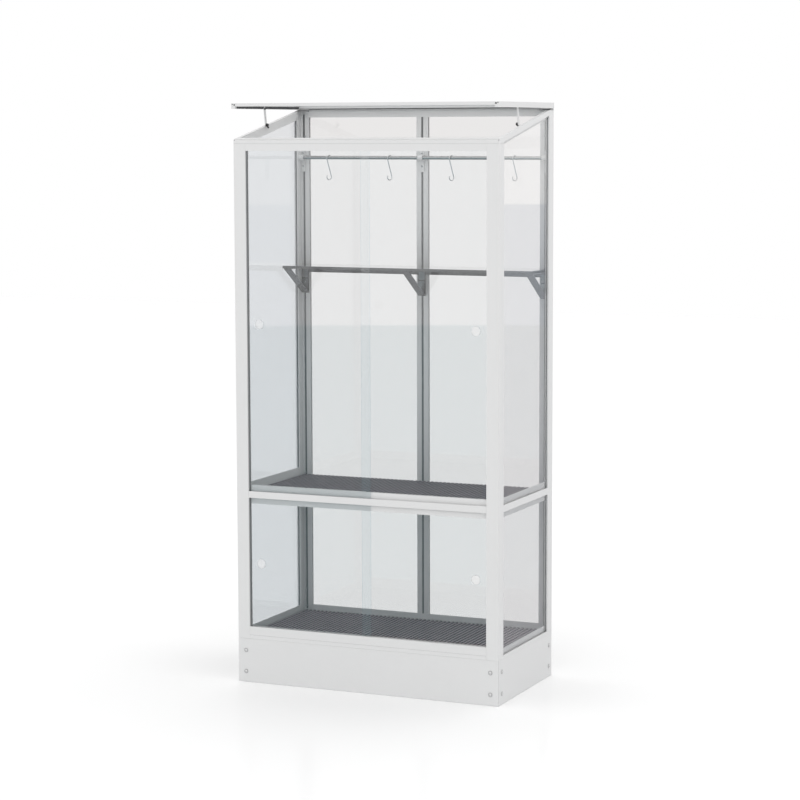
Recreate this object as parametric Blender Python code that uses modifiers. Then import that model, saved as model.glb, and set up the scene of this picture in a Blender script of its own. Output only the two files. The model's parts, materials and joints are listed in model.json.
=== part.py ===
"""Tall glazed cold frame: a bolted plinth, a white aluminium frame, sliding glass doors and a propped roof lid.

Metres, +Z up, +X to the right and +Y to the rear, with the origin on the floor under the middle of the model.
Cross-sections are drawn with u, the distance inwards from the outer side of the frame, v, the distance rearwards
from its front face, w, the distance forwards from its rear face, and z, the height above the floor.
"""
import math

import bmesh
import bpy
from mathutils import Matrix

# ---- driving dimensions -------------------------------------------------------------------------------------
WIDTH = 0.900               # outside of the posts
DEPTH = 0.474               # front face to rear face
PLINTH_TOP = 0.142          # height of the plinth boards
MIDDLE_RAIL_Z = 0.6115      # centre of the rails round the middle deck
FRONT_TOP = 1.7415          # front edge of the roof slope
ROOF_SLOPE = math.radians(11.5)

# ---- clearances ---------------------------------------------------------------------------------------------
GAP = 0.0003                # between pieces that touch
GLASS_SEAT = 0.0003         # each side of a fixed pane in its groove
TRACK_PLAY = 0.00125        # each side of a sliding pane in its track
BOLT_PLAY = 0.0004          # round a bolt in its hole
LID_REST = 0.0008           # closed lid above the roof slope
SWING = 0.0004              # round a pivot or a hinge bead

# ---- frame profiles -----------------------------------------------------------------------------------------
GLASS = 0.004
POST = 0.041                # width of every post, both ways
LIP = 0.0042                # outer lip of a fixed glazing profile
WEB = 0.0032                # inner web of a fixed glazing profile
WALL = LIP + GLASS_SEAT + GLASS + GLASS_SEAT + WEB
GROOVE = 0.008              # depth of the glass grooves in the posts
SLOT_WIDTH = 0.007          # fixing slot on the inner face of the rear posts
SLOT_DEPTH = 0.003
SLOT_U = 0.022              # slot centre from the outer side
BED = 0.004                 # cross wall between lip and web

TRACK_LIP = 0.0035          # front lip of the door tracks
TRACK_RIB = 0.002           # rib between and behind the tracks
CHANNEL = GLASS + 2 * TRACK_PLAY
INNER_TRACK = TRACK_LIP + CHANNEL + TRACK_RIB
TRACK_DEPTH = INNER_TRACK + CHANNEL + TRACK_RIB

FRONT_BOTTOM_FACE = 0.040
SIDE_BOTTOM_LIP = 0.010
BOTTOM_WEB = 0.028
MIDDLE_FACE = 0.021
MIDDLE_WEB = 0.060
TOP_FACE = 0.023
CAP_HEIGHT = 0.0135
CAP_CHAMFER = 0.006
SLOPE_LIP = 0.017
SLOPE_WEB = 0.0275
REAR_TOP_WEB = 0.0215

# ---- plinth -------------------------------------------------------------------------------------------------
BOARD = 0.018
CLEAT = 0.032
CLEAT_INSET = 0.003
BOLT_U = 0.027              # bolt centre from the corner
BOLT_HEIGHTS = (0.0345, 0.1035)
BOLT_RADIUS = 0.0035
WASHER_RADIUS = 0.0066
WASHER_THICKNESS = 0.0010
BOLT_HEAD_RADIUS = 0.0050
BOLT_HEAD_HEIGHT = 0.0024

# ---- doors --------------------------------------------------------------------------------------------------
DOOR_BITE = 0.0075          # glass hidden behind the lip of a rail
DOOR_OVERLAP = 0.034
DOOR_EDGE_PLAY = 0.0005
PULL_RADIUS = 0.016
PULL_HOLE = 0.0145
PULL_INSET = 0.0405         # pull centre from the closing edge
PULL_UPPER_Z = 1.158
PULL_LOWER_Z = 0.388
PULL_FLANGE = 0.0012

# ---- decks and shelf ----------------------------------------------------------------------------------------
DECK_THICKNESS = 0.0095
RIB_PITCH = 0.0145
RIB_HEIGHT = 0.003
RIB_TOP_SHARE = 0.40        # flat top of a rib as a share of the pitch
RIB_FLANK_SHARE = 0.10
DECK_PLAY = 0.0015
LEDGE = 0.012
LEDGE_THICKNESS = 0.003

SHELF_TOP = 1.3262
SHELF_DEPTH = 0.146
SHELF_SHEET = 0.002
SHELF_LIP = 0.0087
SHELF_PLAY = 0.0015
SHELF_RAIL_HEIGHT = 0.022
SHELF_RAIL_THICKNESS = 0.003
BRACKET_WIDTH = 0.025
BRACKET_STRIP = 0.0025
BRACKET_REACH = 0.137
BRACKET_DROP = 0.088

# ---- hanging rod and hooks ----------------------------------------------------------------------------------
ROD_RADIUS = 0.0058
ROD_Z = 1.6790
ROD_STANDOFF = 0.0147       # rod centre in front of the bracket plate's back
ROD_EYE_WALL = 0.0026
ROD_PLATE = 0.0025
ROD_PLATE_HEIGHT = 0.068
ROD_PLATE_DROP = 0.0470     # plate below the rod centre
ROD_BRACKET_WIDTH = 0.016
HOOK_COUNT = 4
HOOK_PITCH = 0.219
HOOK_WIRE = 0.0015          # wire radius
HOOK_LOOSE = 0.0017         # room between a curl's wire and the rod, so that a twisted hook still clears it
HOOK_CURL = ROD_RADIUS + HOOK_WIRE + HOOK_LOOSE    # radius of a curl's centreline
HOOK_HEIGHT = 0.0835
HOOK_TIP = math.radians(35)
HOOK_TWIST = math.radians(30)   # each hook hangs turned about the vertical, its curl loose on the rod

# ---- lid ----------------------------------------------------------------------------------------------------
LID_OVERHANG_X = 0.002
LID_OVERHANG_Y = 0.009
LID_THICKNESS = 0.017
LID_BAR = 0.013
LID_FRONT_BAR = 0.021
LID_REAR_BAR = 0.012
LID_UPPER_LIP = 0.010       # height of the front bar, which is shallower than the side bars
LID_GROOVE = 0.006
LID_GLASS_RAISE = 0.010     # glass above the lid's underside
HINGE_W = 0.010             # hinge axis in front of the rear face
HINGE_RISE = 0.0052         # hinge axis above the underside of the lid
BEAD_RADIUS = 0.0026
NECK = 0.002
SOCKET_WALL = 0.002
SOCKET_MOUTH = (-126, -65)  # degrees, open side of the hinge socket

# ---- lid stays ----------------------------------------------------------------------------------------------
STAY_PIVOT_V = 0.190
STAY_PIVOT_RISE = 0.0017    # pivot above the underside of the lid
STAY_FOOT_V = 0.200
STAY_DROP = 0.0525
STAY_WIDTH = 0.012
STAY_THICKNESS = 0.0018
STAY_INSET = 0.0015         # stay inboard of the side rails
PIN_RADIUS = 0.0034
KNOB_RADIUS = 0.0048
KNOB_LENGTH = 0.0075

ROUND_STEPS = 24
ARC_STEPS = 8

# ---- places worked out from the sizes above -----------------------------------------------------------------
SLOPE = math.tan(ROOF_SLOPE)
BOLT_PROUD = GAP + WASHER_THICKNESS + BOLT_HEAD_HEIGHT
MODEL_DEPTH = LID_OVERHANG_Y + DEPTH + BOLT_PROUD
FACE_Y = LID_OVERHANG_Y - MODEL_DEPTH / 2
BACK_Y = FACE_Y + DEPTH
HALF = WIDTH / 2
OPENING_HALF = HALF - POST
CAP_BOTTOM = FRONT_TOP - CAP_HEIGHT
TOP_RAIL_BOTTOM = CAP_BOTTOM - TOP_FACE
HINGE_V = DEPTH - HINGE_W


def roof_height(v):
    """Height of the roof slope at a distance v behind the front face."""
    return FRONT_TOP + SLOPE * v


REAR_POST_TOP = roof_height(DEPTH - POST)
REAR_RAIL_TOP = roof_height(DEPTH - WALL) - 0.003
CLOSED_UNDERSIDE = roof_height(HINGE_V) + LID_REST / math.cos(ROOF_SLOPE)
HINGE_Z = CLOSED_UNDERSIDE + HINGE_RISE / math.cos(ROOF_SLOPE)
LID_BOTTOM = HINGE_Z - HINGE_RISE
LID_TOP = LID_BOTTOM + LID_THICKNESS
LID_REAR_V = HINGE_V + BEAD_RADIUS + SWING + SOCKET_WALL
DECK_TOP = MIDDLE_RAIL_Z + 0.005
BOTTOM_DECK_TOP = PLINTH_TOP + GAP + DECK_THICKNESS
SHELF_BOTTOM = SHELF_TOP - SHELF_LIP
SHELF_RAIL_TOP = SHELF_TOP - 0.006


# ---- tools for the shapes -----------------------------------------------------------------------------------
TURN = {"X": (math.pi / 2, 0.0, math.pi / 2), "Y": (math.pi / 2, 0.0, 0.0), "Z": (0.0, 0.0, 0.0)}


def clear_scene():
    """Remove every object, so that the model starts from nothing."""
    for old in list(bpy.data.objects):
        bpy.data.objects.remove(old, do_unlink=True)


def new_collection(name):
    group = bpy.data.collections.new(name)
    bpy.context.scene.collection.children.link(group)
    return group


def finish(name, colour, roughness, metallic=0.0):
    """A plain Principled material for one sub-part."""
    material = bpy.data.materials.new(name)
    material.use_nodes = True
    shader = material.node_tree.nodes["Principled BSDF"]
    shader.inputs["Base Color"].default_value = (*colour, 1.0)
    shader.inputs["Roughness"].default_value = roughness
    shader.inputs["Metallic"].default_value = metallic
    return material


def white_coat(name):
    return finish(name + "_coat", (0.80, 0.80, 0.80), 0.45)


def grey_coat(name):
    return finish(name + "_coat", (0.30, 0.31, 0.31), 0.50)


def clear_glass(name):
    return finish(name + "_glass", (0.78, 0.84, 0.84), 0.05)


def add_object(name, mesh, material, group, at=(0.0, 0.0, 0.0), parent=None):
    """Link an object whose own origin stands at a world place, under a parent that only has a location."""
    piece = bpy.data.objects.new(name, mesh)
    group.objects.link(piece)
    base = parent.location if parent else (0.0, 0.0, 0.0)
    piece.parent = parent
    piece.location = [a - b for a, b in zip(at, base)]
    if material:
        mesh.materials.clear()
        mesh.materials.append(material)
    return piece


def add_pivot(name, at):
    """An empty on a joint's axis that carries the pieces of one moving body."""
    pivot = bpy.data.objects.new(name, None)
    parts.objects.link(pivot)
    pivot.location = at
    return pivot


def cut_outline(outlines, thickness):
    """A flat outline, with its holes, given a thickness and welded to one closed mesh."""
    curve = bpy.data.curves.new("outline", "CURVE")
    curve.dimensions = "2D"
    curve.fill_mode = "BOTH"
    curve.extrude = thickness / 2
    for outline in outlines:
        spline = curve.splines.new("POLY")
        spline.points.add(len(outline) - 1)
        for point, (a, b) in zip(spline.points, outline):
            point.co = (a, b, 0.0, 1.0)
        spline.use_cyclic_u = True
    guide = bpy.data.objects.new("outline", curve)
    bpy.context.scene.collection.objects.link(guide)
    view = bpy.context.evaluated_depsgraph_get()
    mesh = bpy.data.meshes.new_from_object(guide.evaluated_get(view))
    bpy.data.objects.remove(guide, do_unlink=True)
    bpy.data.curves.remove(curve)
    weld(mesh)
    return mesh


def weld(mesh):
    """Join a mesh's loose edges and point its faces outwards."""
    shape = bmesh.new()
    shape.from_mesh(mesh)
    bmesh.ops.remove_doubles(shape, verts=shape.verts, dist=0.00001)
    bmesh.ops.recalc_face_normals(shape, faces=shape.faces)
    shape.to_mesh(mesh)
    shape.free()


def extruded(name, outlines, thickness, along, at, material, parent=None, group=None):
    """A profile with a length along X, Y or Z, centred on its place; outlines read (y, z), (x, z) or (x, y)."""
    mesh = cut_outline(outlines, thickness)
    piece = add_object(name, mesh, material, group or parts, at, parent)
    piece.rotation_euler = TURN[along]
    return piece


def turned(name, profile, at, towards, material, parent=None, group=None, steps=ROUND_STEPS):
    """A turned piece: a profile of (radius, height) from its top to its foot, spun about its own Z by a Screw."""
    mesh = bpy.data.meshes.new(name)
    edges = [(i, i + 1) for i in range(len(profile) - 1)]
    mesh.from_pydata([(r, 0.0, h) for r, h in profile], edges, [])
    piece = add_object(name, mesh, None, group or parts, at, parent)
    piece.rotation_euler = towards
    screw = piece.modifiers.new("Turn", "SCREW")
    screw.axis = "Z"
    screw.steps = steps
    screw.render_steps = steps
    screw.use_merge_vertices = True
    screw.merge_threshold = 0.00001
    mesh.materials.append(material)
    return piece


def block(name, low, high, group):
    """A plain box between two corners."""
    size = [b - a for a, b in zip(low, high)]
    middle = [(a + b) / 2 for a, b in zip(low, high)]
    shape = bmesh.new()
    bmesh.ops.create_cube(shape, size=1.0, matrix=Matrix.Diagonal((*size, 1.0)))
    mesh = bpy.data.meshes.new(name)
    shape.to_mesh(mesh)
    shape.free()
    return add_object(name, mesh, None, group, middle)


def combine(piece, other, operation):
    """Join or cut a piece with another one, which stays as a hidden guide."""
    boolean = piece.modifiers.new(operation.title(), "BOOLEAN")
    boolean.operation = operation
    boolean.solver = "EXACT"
    boolean.object = other
    other.hide_render = True
    other.display_type = "WIRE"


def rectangle(a0, b0, a1, b1):
    return [(a0, b0), (a1, b0), (a1, b1), (a0, b1)]


def arc(centre, radius, start, end, steps=ARC_STEPS):
    """Points along an arc, in degrees, both ends included."""
    points = []
    for i in range(steps + 1):
        angle = math.radians(start + (end - start) * i / steps)
        points.append((centre[0] + radius * math.cos(angle), centre[1] + radius * math.sin(angle)))
    return points


def circle(centre, radius, steps=ROUND_STEPS):
    return arc(centre, radius, 0, 360, steps)[:-1]


def from_side(side, outline):
    """An outline in u becomes one in x; side is -1 on the left and +1 on the right."""
    return [(side * (HALF - u), b) for u, b in outline]


def from_front(outline):
    return [(FACE_Y + v, b) for v, b in outline]


def from_rear(outline):
    return [(BACK_Y - w, b) for w, b in outline]


def smooth_round(piece):
    """Smooth shading with sharp edges kept, for a round piece."""
    piece.data.shade_smooth()
    piece.data.set_sharp_from_angle(angle=math.radians(35))


# ---- plinth -------------------------------------------------------------------------------------------------
def mitre(piece, half_length):
    """Cut both ends of a board at 45 degrees, the inner face shorter by the board's thickness."""
    for vertex in piece.data.vertices:
        if vertex.co.z < 0.0 and abs(vertex.co.x) > half_length - BOARD:
            vertex.co.x -= math.copysign(BOARD, vertex.co.x)


def plinth_board(name, length, at, turn):
    """One board with a pair of bolt holes near each end; its outer face looks along the board's own +Z."""
    half = length / 2 - GAP
    holes = []
    for end in (-1, 1):
        for height in BOLT_HEIGHTS:
            holes.append(circle((end * (length / 2 - BOLT_U), height), BOLT_RADIUS + BOLT_PLAY, 16))
    mesh = cut_outline([rectangle(-half, 0.0, half, PLINTH_TOP)] + holes, BOARD)
    board = add_object(name, mesh, white_coat(name), parts, at)
    mitre(board, half)
    board.rotation_euler = (math.pi / 2, 0.0, turn)


def bolt(name, at, turn):
    """A domed bolt with a washer and a shank that reaches into the cleat, its head along the piece's own +Z."""
    washer_top = GAP + WASHER_THICKNESS
    profile = [(0.0, washer_top + BOLT_HEAD_HEIGHT)]
    for step in range(1, 4):
        angle = math.radians(30 * step)
        profile.append((BOLT_HEAD_RADIUS * math.sin(angle), washer_top + BOLT_HEAD_HEIGHT * math.cos(angle)))
    profile.append((WASHER_RADIUS, washer_top))
    profile.append((WASHER_RADIUS, GAP))
    profile.append((BOLT_RADIUS, GAP))
    profile.append((BOLT_RADIUS, -BOARD - CLEAT / 2))
    profile.append((0.0, -BOARD - CLEAT / 2))
    return turned(name, profile, at, (math.pi / 2, 0.0, turn), None, group=guides, steps=16)


def corner_cleat(name, side, end):
    """A square cleat inside one corner, with the four bolts that hold the two boards to it."""
    near = BOARD + GAP
    far = near + CLEAT
    face_y = FACE_Y if end < 0 else BACK_Y
    xs = sorted((side * (HALF - near), side * (HALF - far)))
    ys = sorted((face_y - end * near, face_y - end * far))
    low = (xs[0], ys[0], CLEAT_INSET)
    high = (xs[1], ys[1], PLINTH_TOP - CLEAT_INSET)
    cleat = block(name, low, high, parts)
    cleat.data.materials.append(finish(name + "_zinc", (0.55, 0.56, 0.57), 0.35, 1.0))
    for row, height in enumerate(BOLT_HEIGHTS):
        over_end = (side * (HALF - BOLT_U), face_y, height)
        over_side = (side * HALF, face_y - end * BOLT_U, height)
        end_turn = 0.0 if end < 0 else math.pi
        combine(cleat, bolt(f"{name}_end_bolt_{row}", over_end, end_turn), "UNION")
        combine(cleat, bolt(f"{name}_side_bolt_{row}", over_side, side * math.pi / 2), "UNION")


def make_plinth():
    middle_y = (FACE_Y + BACK_Y) / 2
    plinth_board("plinth_front", WIDTH, (0.0, FACE_Y + BOARD / 2, 0.0), 0.0)
    plinth_board("plinth_rear", WIDTH, (0.0, BACK_Y - BOARD / 2, 0.0), math.pi)
    plinth_board("plinth_left", DEPTH, (-HALF + BOARD / 2, middle_y, 0.0), -math.pi / 2)
    plinth_board("plinth_right", DEPTH, (HALF - BOARD / 2, middle_y, 0.0), math.pi / 2)
    for end, end_name in ((-1, "front"), (1, "rear")):
        for side, side_name in ((-1, "left"), (1, "right")):
            corner_cleat(f"cleat_{end_name}_{side_name}", side, end)


# ---- posts and rails ----------------------------------------------------------------------------------------
def side_groove(edge):
    """The glass groove in the edge of a post's side leg, from its inner corner to its outer one."""
    return [(LIP + GLASS + 2 * GLASS_SEAT, edge), (LIP + GLASS + 2 * GLASS_SEAT, edge - GROOVE),
            (LIP, edge - GROOVE), (LIP, edge), (0.0, edge)]


def make_posts():
    """Angle profiles: a broad leg to the front or rear, and a leg along the side that takes the side panes."""
    low = PLINTH_TOP + GAP
    front = [(0.0, 0.0), (POST, 0.0), (POST, TRACK_DEPTH), (WALL, TRACK_DEPTH), (WALL, POST)]
    front += side_groove(POST)
    slot_in = SLOT_U - SLOT_WIDTH / 2
    slot_out = SLOT_U + SLOT_WIDTH / 2
    rear = [(0.0, 0.0), (POST, 0.0), (POST, LIP), (POST - GROOVE, LIP),
            (POST - GROOVE, WALL - WEB), (POST, WALL - WEB), (POST, WALL),
            (slot_out, WALL), (slot_out, WALL - SLOT_DEPTH), (slot_in, WALL - SLOT_DEPTH), (slot_in, WALL),
            (WALL, WALL), (WALL, POST)]
    rear += side_groove(POST)
    for side, side_name in ((-1, "left"), (1, "right")):
        for end_name, outline, top in (("front", front, CAP_BOTTOM - GAP), ("rear", rear, REAR_POST_TOP)):
            name = f"post_{end_name}_{side_name}"
            shift = FACE_Y if end_name == "front" else BACK_Y
            sign = 1 if end_name == "front" else -1
            plan = [(x, sign * depth) for x, depth in from_side(side, outline)]
            at = (0.0, shift, (low + top) / 2)
            extruded(name, [plan], top - low, "Z", at, white_coat(name))


def make_mullion():
    """The rear bar between the two rear panes, tongued into the rails at both ends."""
    low = PLINTH_TOP + BED + GAP
    top = REAR_RAIL_TOP - BED - GAP
    half = POST / 2
    half_slot = SLOT_WIDTH / 2
    right = [(0.0, 0.0), (half, 0.0), (half, LIP), (half - GROOVE, LIP), (half - GROOVE, WALL - WEB),
             (half, WALL - WEB), (half, WALL), (half_slot, WALL), (half_slot, WALL - SLOT_DEPTH)]
    left = [(-x, w) for x, w in reversed(right) if x > 0.0]
    plan = [(x, -w) for x, w in right + left]
    at = (0.0, BACK_Y, (low + top) / 2)
    mullion = extruded("rear_mullion", [plan], top - low, "Z", at, white_coat("rear_mullion"))
    reach = POST
    outer = (BACK_Y - LIP - GAP, BACK_Y + reach)
    inner = (BACK_Y - reach, BACK_Y - WALL + WEB + GAP)
    ends = (("lip_foot", outer, low - reach, PLINTH_TOP + SIDE_BOTTOM_LIP + GAP),
            ("web_foot", inner, low - reach, PLINTH_TOP + BOTTOM_WEB + GAP),
            ("lip_head", outer, REAR_RAIL_TOP - REAR_TOP_WEB - GAP, top + reach),
            ("web_head", inner, REAR_RAIL_TOP - REAR_TOP_WEB - GAP, top + reach))
    for part_name, (y0, y1), z0, z1 in ends:
        cutter = block(f"mullion_{part_name}_cutter", (-reach, y0, z0), (reach, y1, z1), guides)
        combine(mullion, cutter, "DIFFERENCE")


def track_up(bed, top):
    """Upper side of the door tracks, from the rear web to the front lip, over a bed at one height."""
    rib = TRACK_LIP + CHANNEL
    return [(TRACK_DEPTH - TRACK_RIB, top), (TRACK_DEPTH - TRACK_RIB, bed), (rib + TRACK_RIB, bed),
            (rib + TRACK_RIB, top), (rib, top), (rib, bed), (TRACK_LIP, bed)]


def track_down(bed, bottom):
    """Under side of the door tracks, from the front lip to the rear web."""
    return [(v, z) for v, z in reversed(track_up(bed, bottom))]


def make_front_rails():
    """Double-track rails for the sliding doors, between the front posts."""
    length = 2 * (OPENING_HALF - GAP)

    top = PLINTH_TOP + FRONT_BOTTOM_FACE
    bed = top - DOOR_BITE - GAP
    low = PLINTH_TOP + GAP
    outline = [(0.0, top), (0.0, low), (TRACK_LIP, low), (TRACK_LIP, bed - BED),
               (TRACK_DEPTH - TRACK_RIB, bed - BED), (TRACK_DEPTH - TRACK_RIB, low), (TRACK_DEPTH, low),
               (TRACK_DEPTH, top)]
    outline += track_up(bed, top)
    outline += [(TRACK_LIP, top)]
    extruded("rail_front_bottom", [from_front(outline)], length, "X", (0.0, 0.0, 0.0),
             white_coat("rail_front_bottom"))

    face_low = MIDDLE_RAIL_Z - MIDDLE_FACE / 2
    face_high = MIDDLE_RAIL_Z + MIDDLE_FACE / 2
    web_low = MIDDLE_RAIL_Z - MIDDLE_WEB / 2
    web_high = MIDDLE_RAIL_Z + MIDDLE_WEB / 2
    ledge_top = DECK_TOP - DECK_THICKNESS - GAP
    outline = [(0.0, face_high), (0.0, face_low), (TRACK_LIP, face_low)]
    outline += track_down(MIDDLE_RAIL_Z - BED / 2, web_low)
    outline += [(TRACK_DEPTH, web_low), (TRACK_DEPTH, ledge_top - LEDGE_THICKNESS),
                (TRACK_DEPTH + LEDGE, ledge_top - LEDGE_THICKNESS), (TRACK_DEPTH + LEDGE, ledge_top),
                (TRACK_DEPTH, ledge_top), (TRACK_DEPTH, web_high)]
    outline += track_up(MIDDLE_RAIL_Z + BED / 2, web_high)
    outline += [(TRACK_LIP, face_high)]
    extruded("rail_front_middle", [from_front(outline)], length, "X", (0.0, 0.0, 0.0),
             white_coat("rail_front_middle"))

    bed = TOP_RAIL_BOTTOM + DOOR_BITE + GAP
    outline = [(0.0, CAP_BOTTOM + GAP), (0.0, TOP_RAIL_BOTTOM), (TRACK_LIP, TOP_RAIL_BOTTOM)]
    outline += track_down(bed, TOP_RAIL_BOTTOM)
    outline += [(TRACK_DEPTH, TOP_RAIL_BOTTOM), (TRACK_DEPTH, CAP_BOTTOM + GAP)]
    rail = extruded("rail_front_top", [from_front(outline)], length, "X", (0.0, 0.0, 0.0),
                    white_coat("rail_front_top"))
    cap = [(0.0, CAP_BOTTOM), (TRACK_DEPTH, CAP_BOTTOM), (TRACK_DEPTH, roof_height(TRACK_DEPTH)),
           (CAP_CHAMFER, roof_height(CAP_CHAMFER)), (0.0, FRONT_TOP - CAP_CHAMFER)]
    crown = extruded("front_cap", [from_front(cap)], WIDTH, "X", (0.0, 0.0, 0.0), None, group=guides)
    combine(rail, crown, "UNION")


def glazed_profile(lip_low, lip_high, bed_low, bed_high, web_low, web_high, ledge_top=None):
    """Section of a fixed glazing rail: outer lip, cross bed, inner web, and a ledge for the deck if it has one."""
    web = WALL - WEB
    outline = [(0.0, lip_low), (LIP, lip_low)]
    if lip_low < bed_low:
        outline += [(LIP, bed_low)]
    if web_low < bed_low:
        outline += [(web, bed_low), (web, web_low)]
    outline += [(WALL, web_low)]
    if ledge_top is not None:
        outline += [(WALL, ledge_top - LEDGE_THICKNESS), (WALL + LEDGE, ledge_top - LEDGE_THICKNESS),
                    (WALL + LEDGE, ledge_top), (WALL, ledge_top)]
    outline += [(WALL, web_high)]
    if web_high > bed_high:
        outline += [(web, web_high), (web, bed_high)]
    if lip_high > bed_high:
        outline += [(LIP, bed_high), (LIP, lip_high)]
    outline += [(0.0, lip_high)]
    return outline


def bottom_section():
    low = PLINTH_TOP + GAP
    return glazed_profile(low, PLINTH_TOP + SIDE_BOTTOM_LIP, low, PLINTH_TOP + BED, low,
                          PLINTH_TOP + BOTTOM_WEB)


def make_side_rails():
    """Bottom, middle and sloping top rails between the posts of each side."""
    length = DEPTH - 2 * (POST + GAP)
    centre = (0.0, (FACE_Y + BACK_Y) / 2, 0.0)
    face_low = MIDDLE_RAIL_Z - MIDDLE_FACE / 2
    face_high = MIDDLE_RAIL_Z + MIDDLE_FACE / 2
    middle = glazed_profile(face_low, face_high, MIDDLE_RAIL_Z - BED / 2, MIDDLE_RAIL_Z + BED / 2,
                            MIDDLE_RAIL_Z - MIDDLE_WEB / 2, MIDDLE_RAIL_Z + MIDDLE_WEB / 2,
                            DECK_TOP - DECK_THICKNESS - GAP)
    top = glazed_profile(-SLOPE_LIP, 0.0, -BED, 0.0, -SLOPE_WEB, 0.0)
    front_v = TRACK_DEPTH + GAP
    rear_v = DEPTH - POST - GAP
    slope_middle = (front_v + rear_v) / 2
    for side, side_name in ((-1, "left"), (1, "right")):
        for level, section in (("bottom", bottom_section()), ("middle", middle)):
            name = f"rail_{side_name}_{level}"
            extruded(name, [from_side(side, section)], length, "Y", centre, white_coat(name))
        name = f"rail_{side_name}_top"
        at = (0.0, FACE_Y + slope_middle, roof_height(slope_middle))
        rail = extruded(name, [from_side(side, top)], rear_v - front_v, "Y", at, white_coat(name))
        for vertex in rail.data.vertices:
            vertex.co.y -= SLOPE * vertex.co.z
        x0, x1 = sorted((side * (HALF + POST), side * (HALF - POST)))
        cutter = block(f"{name}_cutter", (x0, FACE_Y - POST, CAP_BOTTOM - POST),
                       (x1, FACE_Y + POST + GAP, CAP_BOTTOM), guides)
        combine(rail, cutter, "DIFFERENCE")


def make_rear_rails():
    """Bottom rail, the flat bar behind the shelf, and the top rail that carries the hinge bead."""
    length = 2 * (OPENING_HALF - GAP)
    extruded("rail_rear_bottom", [from_rear(bottom_section())], length, "X", (0.0, 0.0, 0.0),
             white_coat("rail_rear_bottom"))

    back = WALL + GAP
    bar = rectangle(back, SHELF_RAIL_TOP - SHELF_RAIL_HEIGHT, back + SHELF_RAIL_THICKNESS, SHELF_RAIL_TOP)
    bracket_edge = WALL + GAP + BRACKET_WIDTH + GAP
    extruded("rail_rear_shelf", [from_rear(bar)], 2 * (HALF - bracket_edge), "X", (0.0, 0.0, 0.0),
             grey_coat("rail_rear_shelf"))

    web = WALL - WEB
    low = REAR_RAIL_TOP - REAR_TOP_WEB
    bed = REAR_RAIL_TOP - BED
    drop = math.degrees(math.acos(NECK / 2 / BEAD_RADIUS))
    outline = [(0.0, REAR_RAIL_TOP), (0.0, low), (LIP, low), (LIP, bed), (web, bed), (web, low), (WALL, low),
               (WALL, REAR_RAIL_TOP), (HINGE_W + NECK / 2, REAR_RAIL_TOP)]
    outline += arc((HINGE_W, HINGE_Z), BEAD_RADIUS, -drop, 180 + drop, 2 * ARC_STEPS)
    outline += [(HINGE_W - NECK / 2, REAR_RAIL_TOP)]
    rail = extruded("rail_rear_top", [from_rear(outline)], length, "X", (0.0, 0.0, 0.0),
                    white_coat("rail_rear_top"))
    smooth_round(rail)


# ---- panes --------------------------------------------------------------------------------------------------
def make_panes():
    """Fixed panes in the sides and the rear, each with its edges in the grooves of posts and rails."""
    edge = POST - GROOVE + GLASS_SEAT
    middle = LIP + GLASS_SEAT + GLASS / 2
    bottom = PLINTH_TOP + BED + GAP
    below = MIDDLE_RAIL_Z - BED / 2 - GAP
    above = MIDDLE_RAIL_Z + BED / 2 + GAP
    under_roof = BED / math.cos(ROOF_SLOPE) + GAP
    lower = rectangle(edge, bottom, DEPTH - edge, below)
    upper = [(edge, above), (DEPTH - edge, above), (DEPTH - edge, roof_height(DEPTH - edge) - under_roof),
             (edge, roof_height(edge) - under_roof)]
    for side, side_name in ((-1, "left"), (1, "right")):
        for level, outline in (("lower", lower), ("upper", upper)):
            name = f"pane_{side_name}_{level}"
            extruded(name, [from_front(outline)], GLASS, "X", (side * (HALF - middle), 0.0, 0.0),
                     clear_glass(name))
        x0, x1 = sorted((side * (POST / 2 - GROOVE + GLASS_SEAT), side * (HALF - edge)))
        name = f"pane_rear_{side_name}"
        extruded(name, [rectangle(x0, bottom, x1, REAR_RAIL_TOP - BED - GAP)], GLASS, "Y",
                 (0.0, BACK_Y - middle, 0.0), clear_glass(name))


# ---- doors --------------------------------------------------------------------------------------------------
def make_doors():
    """Four frameless sliding panes: the left ones in the outer track, the right ones in the inner track."""
    width = (2 * (OPENING_HALF - DOOR_EDGE_PLAY) + DOOR_OVERLAP) / 2
    levels = (("upper", MIDDLE_RAIL_Z + MIDDLE_FACE / 2 - DOOR_BITE, TOP_RAIL_BOTTOM + DOOR_BITE, PULL_UPPER_Z),
              ("lower", PLINTH_TOP + FRONT_BOTTOM_FACE - DOOR_BITE, MIDDLE_RAIL_Z - MIDDLE_FACE / 2 + DOOR_BITE,
               PULL_LOWER_Z))
    for side, side_name, track in ((-1, "left", TRACK_LIP), (1, "right", INNER_TRACK)):
        closing = side * (OPENING_HALF - DOOR_EDGE_PLAY)
        x0, x1 = sorted((closing, closing - side * width))
        front = FACE_Y + track + TRACK_PLAY
        pull_x = closing - side * (PULL_INSET - DOOR_EDGE_PLAY)
        for level, z0, z1, pull_z in levels:
            name = f"door_{level}_{side_name}"
            pivot = add_pivot(name + "_slide", (pull_x, front + GLASS / 2, (z0 + z1) / 2))
            hole = circle((pull_x, pull_z), PULL_HOLE)
            extruded(name, [rectangle(x0, z0, x1, z1), hole], GLASS, "Y", (0.0, front + GLASS / 2, 0.0),
                     clear_glass(name), pivot)
            make_pull(f"pull_{level}_{side_name}", (pull_x, front, pull_z), pivot)


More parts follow.
